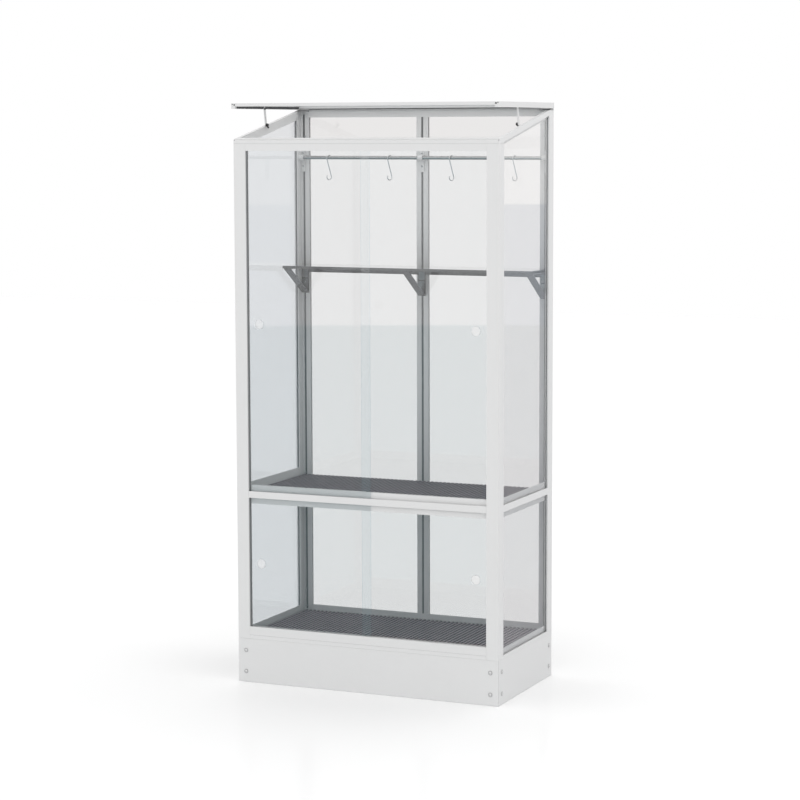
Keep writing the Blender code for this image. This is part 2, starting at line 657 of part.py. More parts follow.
def make_pull(name, at, pivot):
    """A flanged disc pull clipped through its hole, dished on the front; its front is along its own +Z."""
    rear = -GLASS - GAP
    profile = [(0.0, 0.0), (PULL_RADIUS - 0.004, 0.0), (PULL_RADIUS - 0.0015, GAP + PULL_FLANGE),
               (PULL_RADIUS, GAP + PULL_FLANGE * 0.7), (PULL_RADIUS, GAP), (PULL_HOLE - GAP, GAP),
               (PULL_HOLE - GAP, rear), (PULL_RADIUS, rear), (PULL_RADIUS, rear - PULL_FLANGE),
               (0.0, rear - PULL_FLANGE)]
    pull = turned(name, profile, at, (math.pi / 2, 0.0, 0.0), finish(name + "_plastic", (0.85, 0.86, 0.86), 0.3),
                  pivot)
    smooth_round(pull)


# ---- decks and shelf ----------------------------------------------------------------------------------------
def make_deck(name, top, front_v, rear_v):
    """A ribbed panel whose ribs run front to back."""
    half = HALF - WALL - DECK_PLAY
    count = math.floor(2 * half / RIB_PITCH)
    start = -count * RIB_PITCH / 2
    low = top - DECK_THICKNESS
    valley = top - RIB_HEIGHT
    flank = RIB_PITCH * RIB_FLANK_SHARE
    crown = RIB_PITCH * RIB_TOP_SHARE
    outline = [(half, low), (half, valley)]
    for i in reversed(range(count)):
        right = start + (i + 0.5) * RIB_PITCH + crown / 2
        left = right - crown
        outline += [(right + flank, valley), (right, top), (left, top), (left - flank, valley)]
    outline += [(-half, valley), (-half, low)]
    extruded(name, [outline], rear_v - front_v, "Y", (0.0, FACE_Y + (front_v + rear_v) / 2, 0.0),
             finish(name + "_composite", (0.13, 0.13, 0.14), 0.6))


def bracket(name, x, back_w):
    """A shelf bracket folded from flat strip to a triangle: a leg, an arm and a diagonal."""
    top = SHELF_BOTTOM - GAP
    tip = back_w + BRACKET_REACH
    foot = top - BRACKET_DROP
    strip = BRACKET_STRIP
    angle = math.atan2(BRACKET_DROP, BRACKET_REACH)
    outer = [(back_w, top), (back_w, foot), (back_w + strip, foot), (tip, top - strip), (tip, top)]
    inner_top = top - strip
    inner_back = back_w + strip
    skew_v = strip / math.sin(angle)
    skew_z = strip / math.cos(angle)
    inner = [(inner_back, inner_top), (inner_back, foot + skew_z), (tip - skew_v, inner_top)]
    extruded(name, [from_rear(outer), from_rear(inner)], BRACKET_WIDTH, "X", (x, 0.0, 0.0), grey_coat(name))


def make_decks_and_shelf():
    front = TRACK_DEPTH + DECK_PLAY
    rear = DEPTH - WALL - DECK_PLAY
    make_deck("deck_middle", DECK_TOP, front, rear)
    make_deck("deck_bottom", BOTTOM_DECK_TOP, front, rear)

    wing = HALF - WALL - GAP - BRACKET_WIDTH / 2
    bracket("shelf_bracket_left", -wing, WALL + GAP)
    bracket("shelf_bracket_right", wing, WALL + GAP)
    bracket("shelf_bracket_middle", 0.0, WALL + GAP + SHELF_RAIL_THICKNESS + GAP)

    back = WALL + GAP + SHELF_RAIL_THICKNESS + GAP
    lip = back + SHELF_DEPTH
    sheet = SHELF_SHEET
    outline = [(back, SHELF_BOTTOM), (back, SHELF_TOP), (lip, SHELF_TOP), (lip, SHELF_BOTTOM),
               (lip - sheet, SHELF_BOTTOM), (lip - sheet, SHELF_TOP - sheet), (back + sheet, SHELF_TOP - sheet),
               (back + sheet, SHELF_BOTTOM)]
    extruded("shelf", [from_rear(outline)], 2 * (HALF - WALL - SHELF_PLAY), "X", (0.0, 0.0, 0.0),
             grey_coat("shelf"))


# ---- hanging rod and hooks ----------------------------------------------------------------------------------
def make_rod():
    """A round rod through three eye brackets on the rear posts and the mullion."""
    rod_w = WALL + GAP + ROD_STANDOFF
    half = HALF - WALL - GAP
    rod = turned("hanging_rod", [(0.0, half), (ROD_RADIUS, half), (ROD_RADIUS, -half), (0.0, -half)],
                 (0.0, BACK_Y - rod_w, ROD_Z), (0.0, math.pi / 2, 0.0),
                 finish("hanging_rod_steel", (0.60, 0.61, 0.62), 0.3, 1.0))
    smooth_round(rod)
    eye = ROD_RADIUS + SWING + ROD_EYE_WALL
    back = WALL + GAP
    plate = back + ROD_PLATE
    low = ROD_Z - ROD_PLATE_DROP
    outline = [(back, low + ROD_PLATE_HEIGHT), (back, low), (plate, low), (plate, ROD_Z - eye)]
    outline += arc((rod_w, ROD_Z), eye, -90, 90, 2 * ARC_STEPS)
    outline += [(plate, ROD_Z + eye), (plate, low + ROD_PLATE_HEIGHT)]
    bore = circle((rod_w, ROD_Z), ROD_RADIUS + SWING)
    wing = HALF - WALL - GAP - ROD_BRACKET_WIDTH / 2
    for name, x in (("left", -wing), ("middle", 0.0), ("right", wing)):
        piece = extruded(f"rod_bracket_{name}", [from_rear(outline), from_rear(bore)], ROD_BRACKET_WIDTH, "X",
                         (x, 0.0, 0.0), white_coat(f"rod_bracket_{name}"))
        smooth_round(piece)
    for i in range(HOOK_COUNT):
        x = (i - (HOOK_COUNT - 1) / 2) * HOOK_PITCH
        make_hook(f"hook_{i + 1}", (x, BACK_Y - rod_w, ROD_Z))


def make_hook(name, at):
    """A point-symmetric S-hook bent from wire, its upper curl over the rod, its lower curl open to the front."""
    upper = -(HOOK_CURL - HOOK_WIRE - ROD_RADIUS - GAP)
    spread = HOOK_HEIGHT - 2 * (HOOK_CURL + HOOK_WIRE)
    lean = math.degrees(math.asin(HOOK_CURL / (spread / 2)))
    path = arc((0.0, upper), HOOK_CURL, -math.degrees(HOOK_TIP), 180 + lean, 12)
    path += arc((0.0, upper - spread), HOOK_CURL, lean, math.degrees(HOOK_TIP) - 180 - 70, 12)
    curve = bpy.data.curves.new(name, "CURVE")
    curve.dimensions = "3D"
    curve.bevel_depth = HOOK_WIRE
    curve.bevel_resolution = 2
    curve.use_fill_caps = True
    spline = curve.splines.new("POLY")
    spline.points.add(len(path) - 1)
    for point, (y, z) in zip(spline.points, path):
        point.co = (y * math.sin(HOOK_TWIST), y * math.cos(HOOK_TWIST), z, 1.0)
    curve.materials.append(finish(name + "_wire", (0.70, 0.70, 0.70), 0.35, 1.0))
    hook = bpy.data.objects.new(name, curve)
    parts.objects.link(hook)
    hook.location = at


# ---- lid ----------------------------------------------------------------------------------------------------
def make_lid():
    """A glazed lid hinged on the bead of the rear rail, drawn level as it stands when propped open."""
    pivot = add_pivot("lid_hinge", (0.0, FACE_Y + HINGE_V, HINGE_Z))
    outer = -LID_OVERHANG_X
    inner = outer + LID_BAR
    pane_low = LID_BOTTOM + LID_GLASS_RAISE
    groove_low = pane_low - GLASS_SEAT
    groove_high = pane_low + GLASS + GLASS_SEAT
    section = [(outer, LID_BOTTOM), (inner, LID_BOTTOM), (inner, groove_low), (inner - LID_GROOVE, groove_low),
               (inner - LID_GROOVE, groove_high), (inner, groove_high), (inner, LID_TOP), (outer, LID_TOP)]
    length = LID_OVERHANG_Y + LID_REAR_V
    at = (0.0, FACE_Y - LID_OVERHANG_Y + length / 2, 0.0)
    for side, side_name in ((-1, "left"), (1, "right")):
        name = f"lid_bar_{side_name}"
        extruded(name, [from_side(side, section)], length, "Y", at, white_coat(name), pivot)

    width = 2 * (HALF - inner - GAP)
    front = -LID_OVERHANG_Y
    rear = front + LID_FRONT_BAR
    step = LID_TOP - LID_UPPER_LIP
    section = [(front, LID_TOP), (front, step), (rear, step), (rear, groove_low), (rear - LID_GROOVE, groove_low),
               (rear - LID_GROOVE, groove_high), (rear, groove_high), (rear, LID_TOP)]
    extruded("lid_bar_front", [from_front(section)], width, "X", (0.0, 0.0, 0.0), white_coat("lid_bar_front"),
             pivot)

    back_front = HINGE_V - BEAD_RADIUS - SWING - SOCKET_WALL - LID_REAR_BAR
    bore = BEAD_RADIUS + SWING
    shell = bore + SOCKET_WALL
    centre = (HINGE_V, HINGE_Z)
    mouth_front = 360 + SOCKET_MOUTH[0]
    mouth_rear = SOCKET_MOUTH[1]
    section = [(back_front, LID_BOTTOM), (HINGE_V - shell, LID_BOTTOM)]
    section += arc(centre, shell, 225, mouth_front, 2)
    section += arc(centre, bore, mouth_front, mouth_rear, 3 * ARC_STEPS)
    section += arc(centre, shell, mouth_rear, 0, ARC_STEPS)
    section += [(LID_REAR_V, LID_TOP), (back_front, LID_TOP), (back_front, groove_high),
                (back_front + LID_GROOVE, groove_high), (back_front + LID_GROOVE, groove_low),
                (back_front, groove_low)]
    rear_bar = extruded("lid_bar_rear", [from_front(section)], width, "X", (0.0, 0.0, 0.0),
                        white_coat("lid_bar_rear"), pivot)
    smooth_round(rear_bar)

    half = HALF - inner + LID_GROOVE - GLASS_SEAT
    outline = rectangle(-half, FACE_Y + rear - LID_GROOVE + GLASS_SEAT,
                        half, FACE_Y + back_front + LID_GROOVE - GLASS_SEAT)
    extruded("lid_glass", [outline], GLASS, "Z", (0.0, 0.0, pane_low + GLASS / 2), clear_glass("lid_glass"), pivot)


def make_stays():
    """Flat stays that hold the lid up: each turns on a pin in a side bar and clamps to the side rail by a knob."""
    pivot_z = LID_BOTTOM + STAY_PIVOT_RISE
    dv = STAY_FOOT_V - STAY_PIVOT_V
    length = math.hypot(dv, STAY_DROP)
    lean = math.degrees(math.atan2(dv, STAY_DROP))
    half = STAY_WIDTH / 2
    end = (length * math.sin(math.radians(lean)), -length * math.cos(math.radians(lean)))
    outline = arc((0.0, 0.0), half, lean, lean + 180) + arc(end, half, lean + 180, lean + 360)
    near = max(WALL, LID_BAR - LID_OVERHANG_X) + STAY_INSET
    plate_middle = near + STAY_THICKNESS / 2
    for side, side_name in ((-1, "left"), (1, "right")):
        name = f"stay_{side_name}"
        at = (side * (HALF - plate_middle), FACE_Y + STAY_PIVOT_V, pivot_z)
        pivot = add_pivot(name + "_pivot", at)
        stay = extruded(name, [outline], STAY_THICKNESS, "X", at,
                        finish(name + "_coat", (0.75, 0.75, 0.75), 0.45), pivot)
        inwards = (0.0, -side * math.pi / 2, 0.0)
        back = -STAY_THICKNESS / 2
        pin_top = STAY_THICKNESS / 2 + 0.0022
        pin_foot = back - (near - (LID_BAR - LID_OVERHANG_X) - GAP)
        pin = [(0.0, pin_top), (PIN_RADIUS, pin_top), (PIN_RADIUS, pin_foot), (0.0, pin_foot)]
        combine(stay, turned(name + "_pin", pin, at, inwards, None, group=guides, steps=16), "UNION")
        knob_at = (at[0], at[1] + end[0], at[2] + end[1])
        top = back + KNOB_LENGTH
        knob = [(0.0, top), (KNOB_RADIUS * 0.7, top), (KNOB_RADIUS, top - 0.0015), (KNOB_RADIUS, back + 0.0008),
                (0.0, back + 0.0008)]
        combine(stay, turned(name + "_knob", knob, knob_at, inwards, None, group=guides, steps=16), "UNION")


clear_scene()
parts = new_collection("cold_frame")
guides = new_collection("cutters")
make_plinth()
make_posts()
make_mullion()
make_front_rails()
make_side_rails()
make_rear_rails()
make_panes()
make_doors()
make_decks_and_shelf()
make_rod()
make_lid()
make_stays()
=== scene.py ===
"""Looks of the tall glazed cold frame: coated aluminium, clear glass, ribbed decks and the small fittings."""
import json
import math

import bmesh
import bpy
from mathutils import Matrix, Vector


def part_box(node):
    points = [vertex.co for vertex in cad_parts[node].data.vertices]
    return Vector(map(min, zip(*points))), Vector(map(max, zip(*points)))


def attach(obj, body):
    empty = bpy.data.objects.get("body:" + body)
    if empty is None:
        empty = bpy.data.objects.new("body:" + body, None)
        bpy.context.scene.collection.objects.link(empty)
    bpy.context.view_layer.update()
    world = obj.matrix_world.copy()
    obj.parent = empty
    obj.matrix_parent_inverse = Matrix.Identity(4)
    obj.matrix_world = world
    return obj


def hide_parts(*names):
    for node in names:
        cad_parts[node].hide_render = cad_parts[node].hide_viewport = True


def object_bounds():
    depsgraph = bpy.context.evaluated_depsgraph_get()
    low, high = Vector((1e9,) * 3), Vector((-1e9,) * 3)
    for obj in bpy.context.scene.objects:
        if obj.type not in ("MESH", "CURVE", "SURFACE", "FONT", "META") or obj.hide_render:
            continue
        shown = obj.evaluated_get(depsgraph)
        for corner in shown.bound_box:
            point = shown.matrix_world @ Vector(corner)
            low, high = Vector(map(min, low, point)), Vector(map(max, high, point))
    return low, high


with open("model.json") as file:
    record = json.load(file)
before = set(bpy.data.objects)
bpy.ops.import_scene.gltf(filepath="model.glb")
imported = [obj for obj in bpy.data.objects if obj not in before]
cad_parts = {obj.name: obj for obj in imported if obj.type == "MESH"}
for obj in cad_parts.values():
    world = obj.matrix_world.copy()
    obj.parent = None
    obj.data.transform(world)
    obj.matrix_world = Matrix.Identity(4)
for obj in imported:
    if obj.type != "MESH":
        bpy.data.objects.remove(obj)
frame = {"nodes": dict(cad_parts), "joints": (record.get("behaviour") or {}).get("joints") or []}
cad_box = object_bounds()
nodes = frame["nodes"]
scene = bpy.context.scene
scene.view_settings.view_transform = "Standard"

# ---- Studio ---------------------------------------------------------------------------------------------
# A white sweep under an even white sky, with one broad soft light overhead. Polished glass mirrors a room
# instead: white high up, and cooler, darker walls from a little below eye level down. The sweep itself is left
# out of reflections and of the view through glass, where the plain backdrop shows.
SKY_FRONT = (1.20, 1.20, 1.20)
SKY_REAR = (1.00, 1.00, 1.00)
BACKDROP = (1.0, 1.0, 1.0)
FRONT_WALL = (0.32, 0.48, 0.52)
SIDE_WALL = (0.60, 0.64, 0.70)
SIDE_WALL_LOW = (0.54, 0.56, 0.59)
WALL_TOP = -0.081
SIDE_WALL_TOP = -0.031
WALL_EDGE = 0.0005
WALL_EDGE_Y = 0.002
SWITCH = 0.002
SKY_BLEND = 0.8
FLOOR_SIZE = 30.0
FLOOR_DROP = 0.0005
FLOOR_WHITE = (0.932, 0.932, 0.932)
FLOOR_GLOSS = 0.14
FLOOR_GLOSS_SHARE = 0.10
SOFTBOX_SIZE = (6.0, 5.0)
SOFTBOX_POWER = 40.0
SOFTBOX_PLACE = (1.2, 0.6, 5.0)
SOFTBOX_AIM = (0.0, 0.0, 0.5)
CAMERA_PLACE = (3.0967, -7.0093, 1.7714)
CAMERA_TURN = 23.71
CAMERA_TILT = 6.425
CAMERA_ROLL = -0.164
CAMERA_LENS = 108.2
CAMERA_FILM = 36.0

world = bpy.data.worlds.new("studio_air")
scene.world = world
world.use_nodes = True
air = world.node_tree
air.nodes.clear()
sky_output = air.nodes.new("ShaderNodeOutputWorld")
sky = air.nodes.new("ShaderNodeBackground")
ray = air.nodes.new("ShaderNodeLightPath")
heading = air.nodes.new("ShaderNodeTexCoord")
height = air.nodes.new("ShaderNodeSeparateXYZ")
air.links.new(heading.outputs["Generated"], height.inputs["Vector"])


def room_step(tree, below, above, driver, limit, spread):
    """A colour that changes over a narrow band as a direction component passes a limit."""
    band = tree.nodes.new("ShaderNodeMapRange")
    band.inputs["From Min"].default_value = limit - spread
    band.inputs["From Max"].default_value = limit + spread
    tree.links.new(driver, band.inputs["Value"])
    mix = tree.nodes.new("ShaderNodeMix")
    mix.data_type = "RGBA"
    tree.links.new(band.outputs["Result"], mix.inputs["Factor"])
    for socket, colour in (("A", below), ("B", above)):
        if isinstance(colour, tuple):
            mix.inputs[socket].default_value = (*colour, 1.0)
        else:
            tree.links.new(colour, mix.inputs[socket])
    return mix.outputs["Result"]


front_room = room_step(air, FRONT_WALL, BACKDROP, height.outputs["Z"], WALL_TOP, WALL_EDGE)
side_low = room_step(air, SIDE_WALL_LOW, SIDE_WALL, height.outputs["Z"], WALL_TOP, WALL_EDGE)
side_room = room_step(air, side_low, BACKDROP, height.outputs["Z"], SIDE_WALL_TOP, WALL_EDGE)
room = room_step(air, front_room, side_room, height.outputs["Y"], 0.0, WALL_EDGE_Y)
daylight = room_step(air, SKY_FRONT, SKY_REAR, height.outputs["Y"], 0.0, SKY_BLEND)
lit = room_step(air, daylight, BACKDROP, ray.outputs["Is Camera Ray"], 0.5, SWITCH)
seen = room_step(air, lit, room, ray.outputs["Is Glossy Ray"], 0.5, SWITCH)
air.links.new(seen, sky.inputs["Color"])
air.links.new(sky.outputs["Background"], sky_output.inputs["Surface"])

shape = bmesh.new()
bmesh.ops.create_grid(shape, x_segments=1, y_segments=1, size=FLOOR_SIZE / 2)
bmesh.ops.translate(shape, verts=shape.verts, vec=(0.0, 0.0, cad_box[0][2] - FLOOR_DROP))
floor_mesh = bpy.data.meshes.new("studio_floor")
shape.to_mesh(floor_mesh)
shape.free()
floor = bpy.data.objects.new("studio_floor", floor_mesh)
scene.collection.objects.link(floor)
floor_paint = bpy.data.materials.new("studio_floor_paint")
floor_paint.use_nodes = True
tree = floor_paint.node_tree
tree.nodes.clear()
floor_output = tree.nodes.new("ShaderNodeOutputMaterial")
matt = tree.nodes.new("ShaderNodeBsdfDiffuse")
matt.inputs["Color"].default_value = (*FLOOR_WHITE, 1.0)
sheen = tree.nodes.new("ShaderNodeBsdfGlossy")
sheen.inputs["Roughness"].default_value = FLOOR_GLOSS
waxed = tree.nodes.new("ShaderNodeMixShader")
waxed.inputs["Fac"].default_value = FLOOR_GLOSS_SHARE
open_air = tree.nodes.new("ShaderNodeBsdfTransparent")
choose = tree.nodes.new("ShaderNodeMixShader")
floor_ray = tree.nodes.new("ShaderNodeLightPath")
tree.links.new(matt.outputs["BSDF"], waxed.inputs[1])
tree.links.new(sheen.outputs["BSDF"], waxed.inputs[2])
behind_glass = tree.nodes.new("ShaderNodeMath")
behind_glass.operation = "MAXIMUM"
behind_glass.use_clamp = True
tree.links.new(floor_ray.outputs["Is Glossy Ray"], behind_glass.inputs[0])
tree.links.new(floor_ray.outputs["Transparent Depth"], behind_glass.inputs[1])
tree.links.new(behind_glass.outputs["Value"], choose.inputs["Fac"])
tree.links.new(waxed.outputs["Shader"], choose.inputs[1])
tree.links.new(open_air.outputs["BSDF"], choose.inputs[2])
tree.links.new(choose.outputs["Shader"], floor_output.inputs["Surface"])
floor_mesh.materials.append(floor_paint)

lamp = bpy.data.lights.new("overhead_softbox", "AREA")
lamp.shape = "RECTANGLE"
lamp.size, lamp.size_y = SOFTBOX_SIZE
lamp.energy = SOFTBOX_POWER
softbox = bpy.data.objects.new("overhead_softbox", lamp)
scene.collection.objects.link(softbox)
softbox.location = SOFTBOX_PLACE
softbox.rotation_euler = (Vector(SOFTBOX_AIM) - softbox.location).to_track_quat("-Z", "Y").to_euler()

lens = bpy.data.cameras.new("camera")
lens.lens = CAMERA_LENS
lens.sensor_width = CAMERA_FILM
camera = bpy.data.objects.new("camera", lens)
scene.collection.objects.link(camera)
turn = (Matrix.Rotation(math.radians(CAMERA_TURN), 4, "Z")
        @ Matrix.Rotation(math.radians(90.0 - CAMERA_TILT), 4, "X")
        @ Matrix.Rotation(math.radians(CAMERA_ROLL), 4, "Z"))
camera.matrix_world = Matrix.Translation(CAMERA_PLACE) @ turn
scene.camera = camera

# ---- Plinth, posts and rails ----------------------------------------------------------------------------
# Aluminium boards and extruded angles, degreased, powder coated white and baked. The coat lies in a faint
# orange peel, a little thinner and glossier here and there.
FRAME_NODES = ("plinth_front", "plinth_rear", "plinth_left", "plinth_right",
               "post_front_left", "post_front_right", "post_rear_left", "post_rear_right", "rear_mullion",
               "rail_front_bottom", "rail_front_middle", "rail_front_top",
               "rail_left_bottom", "rail_left_middle", "rail_left_top",
               "rail_right_bottom", "rail_right_middle", "rail_right_top",
               "rail_rear_bottom", "rail_rear_top",
               "lid_bar_left", "lid_bar_right", "lid_bar_front", "lid_bar_rear",
               "rod_bracket_left", "rod_bracket_middle", "rod_bracket_right")
COAT_WHITE = (0.672, 0.672, 0.672)


def powder_coat(name, colour, roughness):
    """A baked powder coat: even colour with faint drifts, fine orange peel and uneven gloss."""
    coat = bpy.data.materials.new(name)
    coat.use_nodes = True
    tree = coat.node_tree
    shader = tree.nodes["Principled BSDF"]
    place = tree.nodes.new("ShaderNodeTexCoord")
    drift = tree.nodes.new("ShaderNodeTexNoise")
    drift.inputs["Scale"].default_value = 2.5
    drift.inputs["Detail"].default_value = 3.0
    tone = tree.nodes.new("ShaderNodeMix")
    tone.data_type = "RGBA"
    tone.inputs["A"].default_value = (*(c * 0.985 for c in colour), 1.0)
    tone.inputs["B"].default_value = (*(min(1.0, c * 1.015) for c in colour), 1.0)
    peel = tree.nodes.new("ShaderNodeTexNoise")
    peel.inputs["Scale"].default_value = 850.0
    peel.inputs["Detail"].default_value = 2.0
    bump = tree.nodes.new("ShaderNodeBump")
    bump.inputs["Strength"].default_value = 0.10
    bump.inputs["Distance"].default_value = 0.0002
    gloss = tree.nodes.new("ShaderNodeMapRange")
    gloss.inputs["To Min"].default_value = roughness - 0.05
    gloss.inputs["To Max"].default_value = roughness + 0.05
    tree.links.new(place.outputs["Object"], drift.inputs["Vector"])
    tree.links.new(place.outputs["Object"], peel.inputs["Vector"])
    tree.links.new(drift.outputs["Fac"], tone.inputs["Factor"])
    tree.links.new(tone.outputs["Result"], shader.inputs["Base Color"])
    tree.links.new(drift.outputs["Fac"], gloss.inputs["Value"])
    tree.links.new(gloss.outputs["Result"], shader.inputs["Roughness"])
    tree.links.new(peel.outputs["Fac"], bump.inputs["Height"])
    tree.links.new(bump.outputs["Normal"], shader.inputs["Normal"])
    return coat


coat_white = powder_coat("white_powder_coat", COAT_WHITE, 0.42)
for name in FRAME_NODES:
    nodes[name].material_slots[0].material = coat_white


# ---- Corner cleats and plinth bolts ---------------------------------------------------------------------
# Button-head bolts, painted white with the plinth, driven by a hexagon key through the boards into the cleats.
# A thin grey ring round each head, on its washer, is painted shade for the gap round the washer.
BOLT_INSET = 0.027
BOLT_HEIGHTS = (0.0345, 0.1035)
BOLT_HEAD_TOP = 0.0037
SOCKET_RADIUS = 0.0017
SOCKET_HEIGHT = 0.0008
SOCKET_SINK = 0.0002
WASHER_TOP = 0.0013
RING_INNER = 0.0049
RING_OUTER = 0.0068
RING_HEIGHT = 0.0006


def plated_metal(name, colour, roughness, mottle):
    """Bright metal whose plating is mottled in colour and gloss, with very fine scratches."""
    metal = bpy.data.materials.new(name)
    metal.use_nodes = True
    tree = metal.node_tree
    shader = tree.nodes["Principled BSDF"]
    shader.inputs["Metallic"].default_value = 1.0
    place = tree.nodes.new("ShaderNodeTexCoord")
    spots = tree.nodes.new("ShaderNodeTexNoise")
    spots.inputs["Scale"].default_value = 420.0
    spots.inputs["Detail"].default_value = 4.0
    tone = tree.nodes.new("ShaderNodeMix")
    tone.data_type = "RGBA"
    tone.inputs["A"].default_value = (*(c * (1.0 - mottle) for c in colour), 1.0)
    tone.inputs["B"].default_value = (*(min(1.0, c * (1.0 + mottle)) for c in colour), 1.0)
    gloss = tree.nodes.new("ShaderNodeMapRange")
    gloss.inputs["To Min"].default_value = roughness - 0.07
    gloss.inputs["To Max"].default_value = roughness + 0.07
    bump = tree.nodes.new("ShaderNodeBump")
    bump.inputs["Strength"].default_value = 0.06
    bump.inputs["Distance"].default_value = 0.0001
    tree.links.new(place.outputs["Object"], spots.inputs["Vector"])
    tree.links.new(spots.outputs["Fac"], tone.inputs["Factor"])
    tree.links.new(tone.outputs["Result"], shader.inputs["Base Color"])
    tree.links.new(spots.outputs["Fac"], gloss.inputs["Value"])
    tree.links.new(gloss.outputs["Result"], shader.inputs["Roughness"])
    tree.links.new(spots.outputs["Fac"], bump.inputs["Height"])
    tree.links.new(bump.outputs["Normal"], shader.inputs["Normal"])
    return metal


def moulded(name, colour, roughness):
    """Rubber or nylon straight from its mould or die: matt, with a fine grain. Also used for matt painted shade
    in recesses and gaps.
    """
    compound = bpy.data.materials.new(name)
    compound.use_nodes = True
    tree = compound.node_tree
    shader = tree.nodes["Principled BSDF"]
    place = tree.nodes.new("ShaderNodeTexCoord")
    grain = tree.nodes.new("ShaderNodeTexNoise")
    grain.inputs["Scale"].default_value = 1400.0
    grain.inputs["Detail"].default_value = 3.0
    tone = tree.nodes.new("ShaderNodeMix")
    tone.data_type = "RGBA"
    tone.inputs["A"].default_value = (*(c * 0.88 for c in colour), 1.0)
    tone.inputs["B"].default_value = (*(c * 1.12 for c in colour), 1.0)
    bump = tree.nodes.new("ShaderNodeBump")
    bump.inputs["Strength"].default_value = 0.15
    bump.inputs["Distance"].default_value = 0.0001
    shader.inputs["Roughness"].default_value = roughness
    tree.links.new(place.outputs["Object"], grain.inputs["Vector"])
    tree.links.new(grain.outputs["Fac"], tone.inputs["Factor"])
    tree.links.new(tone.outputs["Result"], shader.inputs["Base Color"])
    tree.links.new(grain.outputs["Fac"], bump.inputs["Height"])
    tree.links.new(bump.outputs["Normal"], shader.inputs["Normal"])
    return compound


def add_piece(name, shape, body, *materials):
    """A finished bmesh becomes an object that rides on a body."""
    mesh = bpy.data.meshes.new(name)
    shape.to_mesh(mesh)
    shape.free()
    piece = bpy.data.objects.new(name, mesh)
    scene.collection.objects.link(piece)
    for material in materials:
        mesh.materials.append(material)
    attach(piece, body)
    return piece


def facing(place, direction):
    """A matrix that stands a part's own +Z along a direction at a place."""
    return Matrix.Translation(place) @ Vector(direction).to_track_quat("Z", "Y").to_matrix().to_4x4()


zinc = plated_metal("zinc_plating", (0.62, 0.63, 0.64), 0.36, 0.06)
# Painted shade: a dark matt material for the bottoms of sockets, cross recesses and open rail ends.
painted_recess_shade = moulded("shadowed_recess", (0.12, 0.12, 0.12), 0.8)
# Painted shade: a grey for the shadow gap round each bolt washer.
washer_shade_grey = moulded("washer_gap_shade", (0.34, 0.34, 0.345), 0.6)
for name in ("cleat_front_left", "cleat_front_right", "cleat_rear_left", "cleat_rear_right"):
    nodes[name].material_slots[0].material = coat_white

plinth_low, plinth_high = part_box("plinth_left")[0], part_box("plinth_right")[1]
bolt_faces = []
for row in BOLT_HEIGHTS:
    for y, out in ((plinth_low.y, -1), (plinth_high.y, 1)):
        for x in (plinth_low.x + BOLT_INSET, plinth_high.x - BOLT_INSET):
            bolt_faces.append(((x, y + out * BOLT_HEAD_TOP, row), (0, out, 0)))
    for x, out in ((plinth_low.x, -1), (plinth_high.x, 1)):
        for y in (plinth_low.y + BOLT_INSET, plinth_high.y - BOLT_INSET):
            bolt_faces.append(((x + out * BOLT_HEAD_TOP, y, row), (out, 0, 0)))
# The hexagon sockets are dark cones sunk just into the heads: painted shade.
shape = bmesh.new()
for place, direction in bolt_faces:
    bmesh.ops.create_cone(shape, cap_ends=True, segments=6, radius1=SOCKET_RADIUS, radius2=SOCKET_RADIUS,
                          depth=SOCKET_HEIGHT,
                          matrix=facing(place, direction) @ Matrix.Translation((0, 0, -SOCKET_SINK)))
add_piece("plinth_bolt_sockets", shape, "cabinet", painted_recess_shade)


def turn_profile(shape, profile, steps=32, closed=False):
    """Spin a half profile of (radius, height) about +Z to a closed solid with outward faces."""
    points = [shape.verts.new((r, 0.0, h)) for r, h in profile]
    pairs = list(zip(points, points[1:])) + ([(points[-1], points[0])] if closed else [])
    lines = [shape.edges.new(pair) for pair in pairs]
    bmesh.ops.spin(shape, geom=points + lines, cent=(0, 0, 0), axis=(0, 0, 1), angle=math.tau, steps=steps,
                   use_merge=True)
    bmesh.ops.remove_doubles(shape, verts=shape.verts, dist=0.00001)
    bmesh.ops.recalc_face_normals(shape, faces=shape.faces)


def small_mesh(name, shape):
    """A finished bmesh becomes a mesh to be stamped."""
    mesh = bpy.data.meshes.new(name)
    shape.to_mesh(mesh)
    shape.free()
    return mesh


def stamp(shape, mesh, matrix):
    """Add a copy of a small mesh to a shape at a place."""
    count = len(shape.verts)
    shape.from_mesh(mesh)
    shape.verts.ensure_lookup_table()
    bmesh.ops.transform(shape, matrix=matrix, verts=shape.verts[count:])


# Painted shade: a thin grey ring on each washer stands for the shadow gap round the head.
ring = bmesh.new()
turn_profile(ring, [(RING_INNER, 0.0), (RING_OUTER, 0.0), (RING_OUTER, RING_HEIGHT / 2),
                    (RING_OUTER - 0.0004, RING_HEIGHT), (RING_INNER, RING_HEIGHT)], 20, True)
ring_mesh = small_mesh("washer_gap_shade_ring", ring)
shape = bmesh.new()
for place, direction in bolt_faces:
    base = Vector(place) - Vector(direction) * (BOLT_HEAD_TOP - WASHER_TOP)
    stamp(shape, ring_mesh, facing(base, direction))
add_piece("plinth_bolt_shade_rings", shape, "cabinet", washer_shade_grey)

# ---- Fixed panes, doors and the lid's glass -------------------------------------------------------------
# Four-millimetre toughened float glass. The lid and the right side are clear, the doors have a breath of blue,
# and the rear and left panes are faintly grey. All mirror more at a glance and gather a little colour at the
# ground edges. Light that has crossed the sides to reach the inside is dimmed more than the view is.
CLEAR_TINT = (0.998, 0.998, 0.998)
DOOR_TINT = (0.988, 0.996, 0.999)
REAR_TINT = (0.902, 0.895, 0.892)
LEFT_TINT = (0.872, 0.876, 0.884)
EDGE_TINT = (0.90, 0.935, 0.955)
DIMMED = 0.85
GLASS_POLISH = 0.002
SHARE_HEAD_ON = 0.045


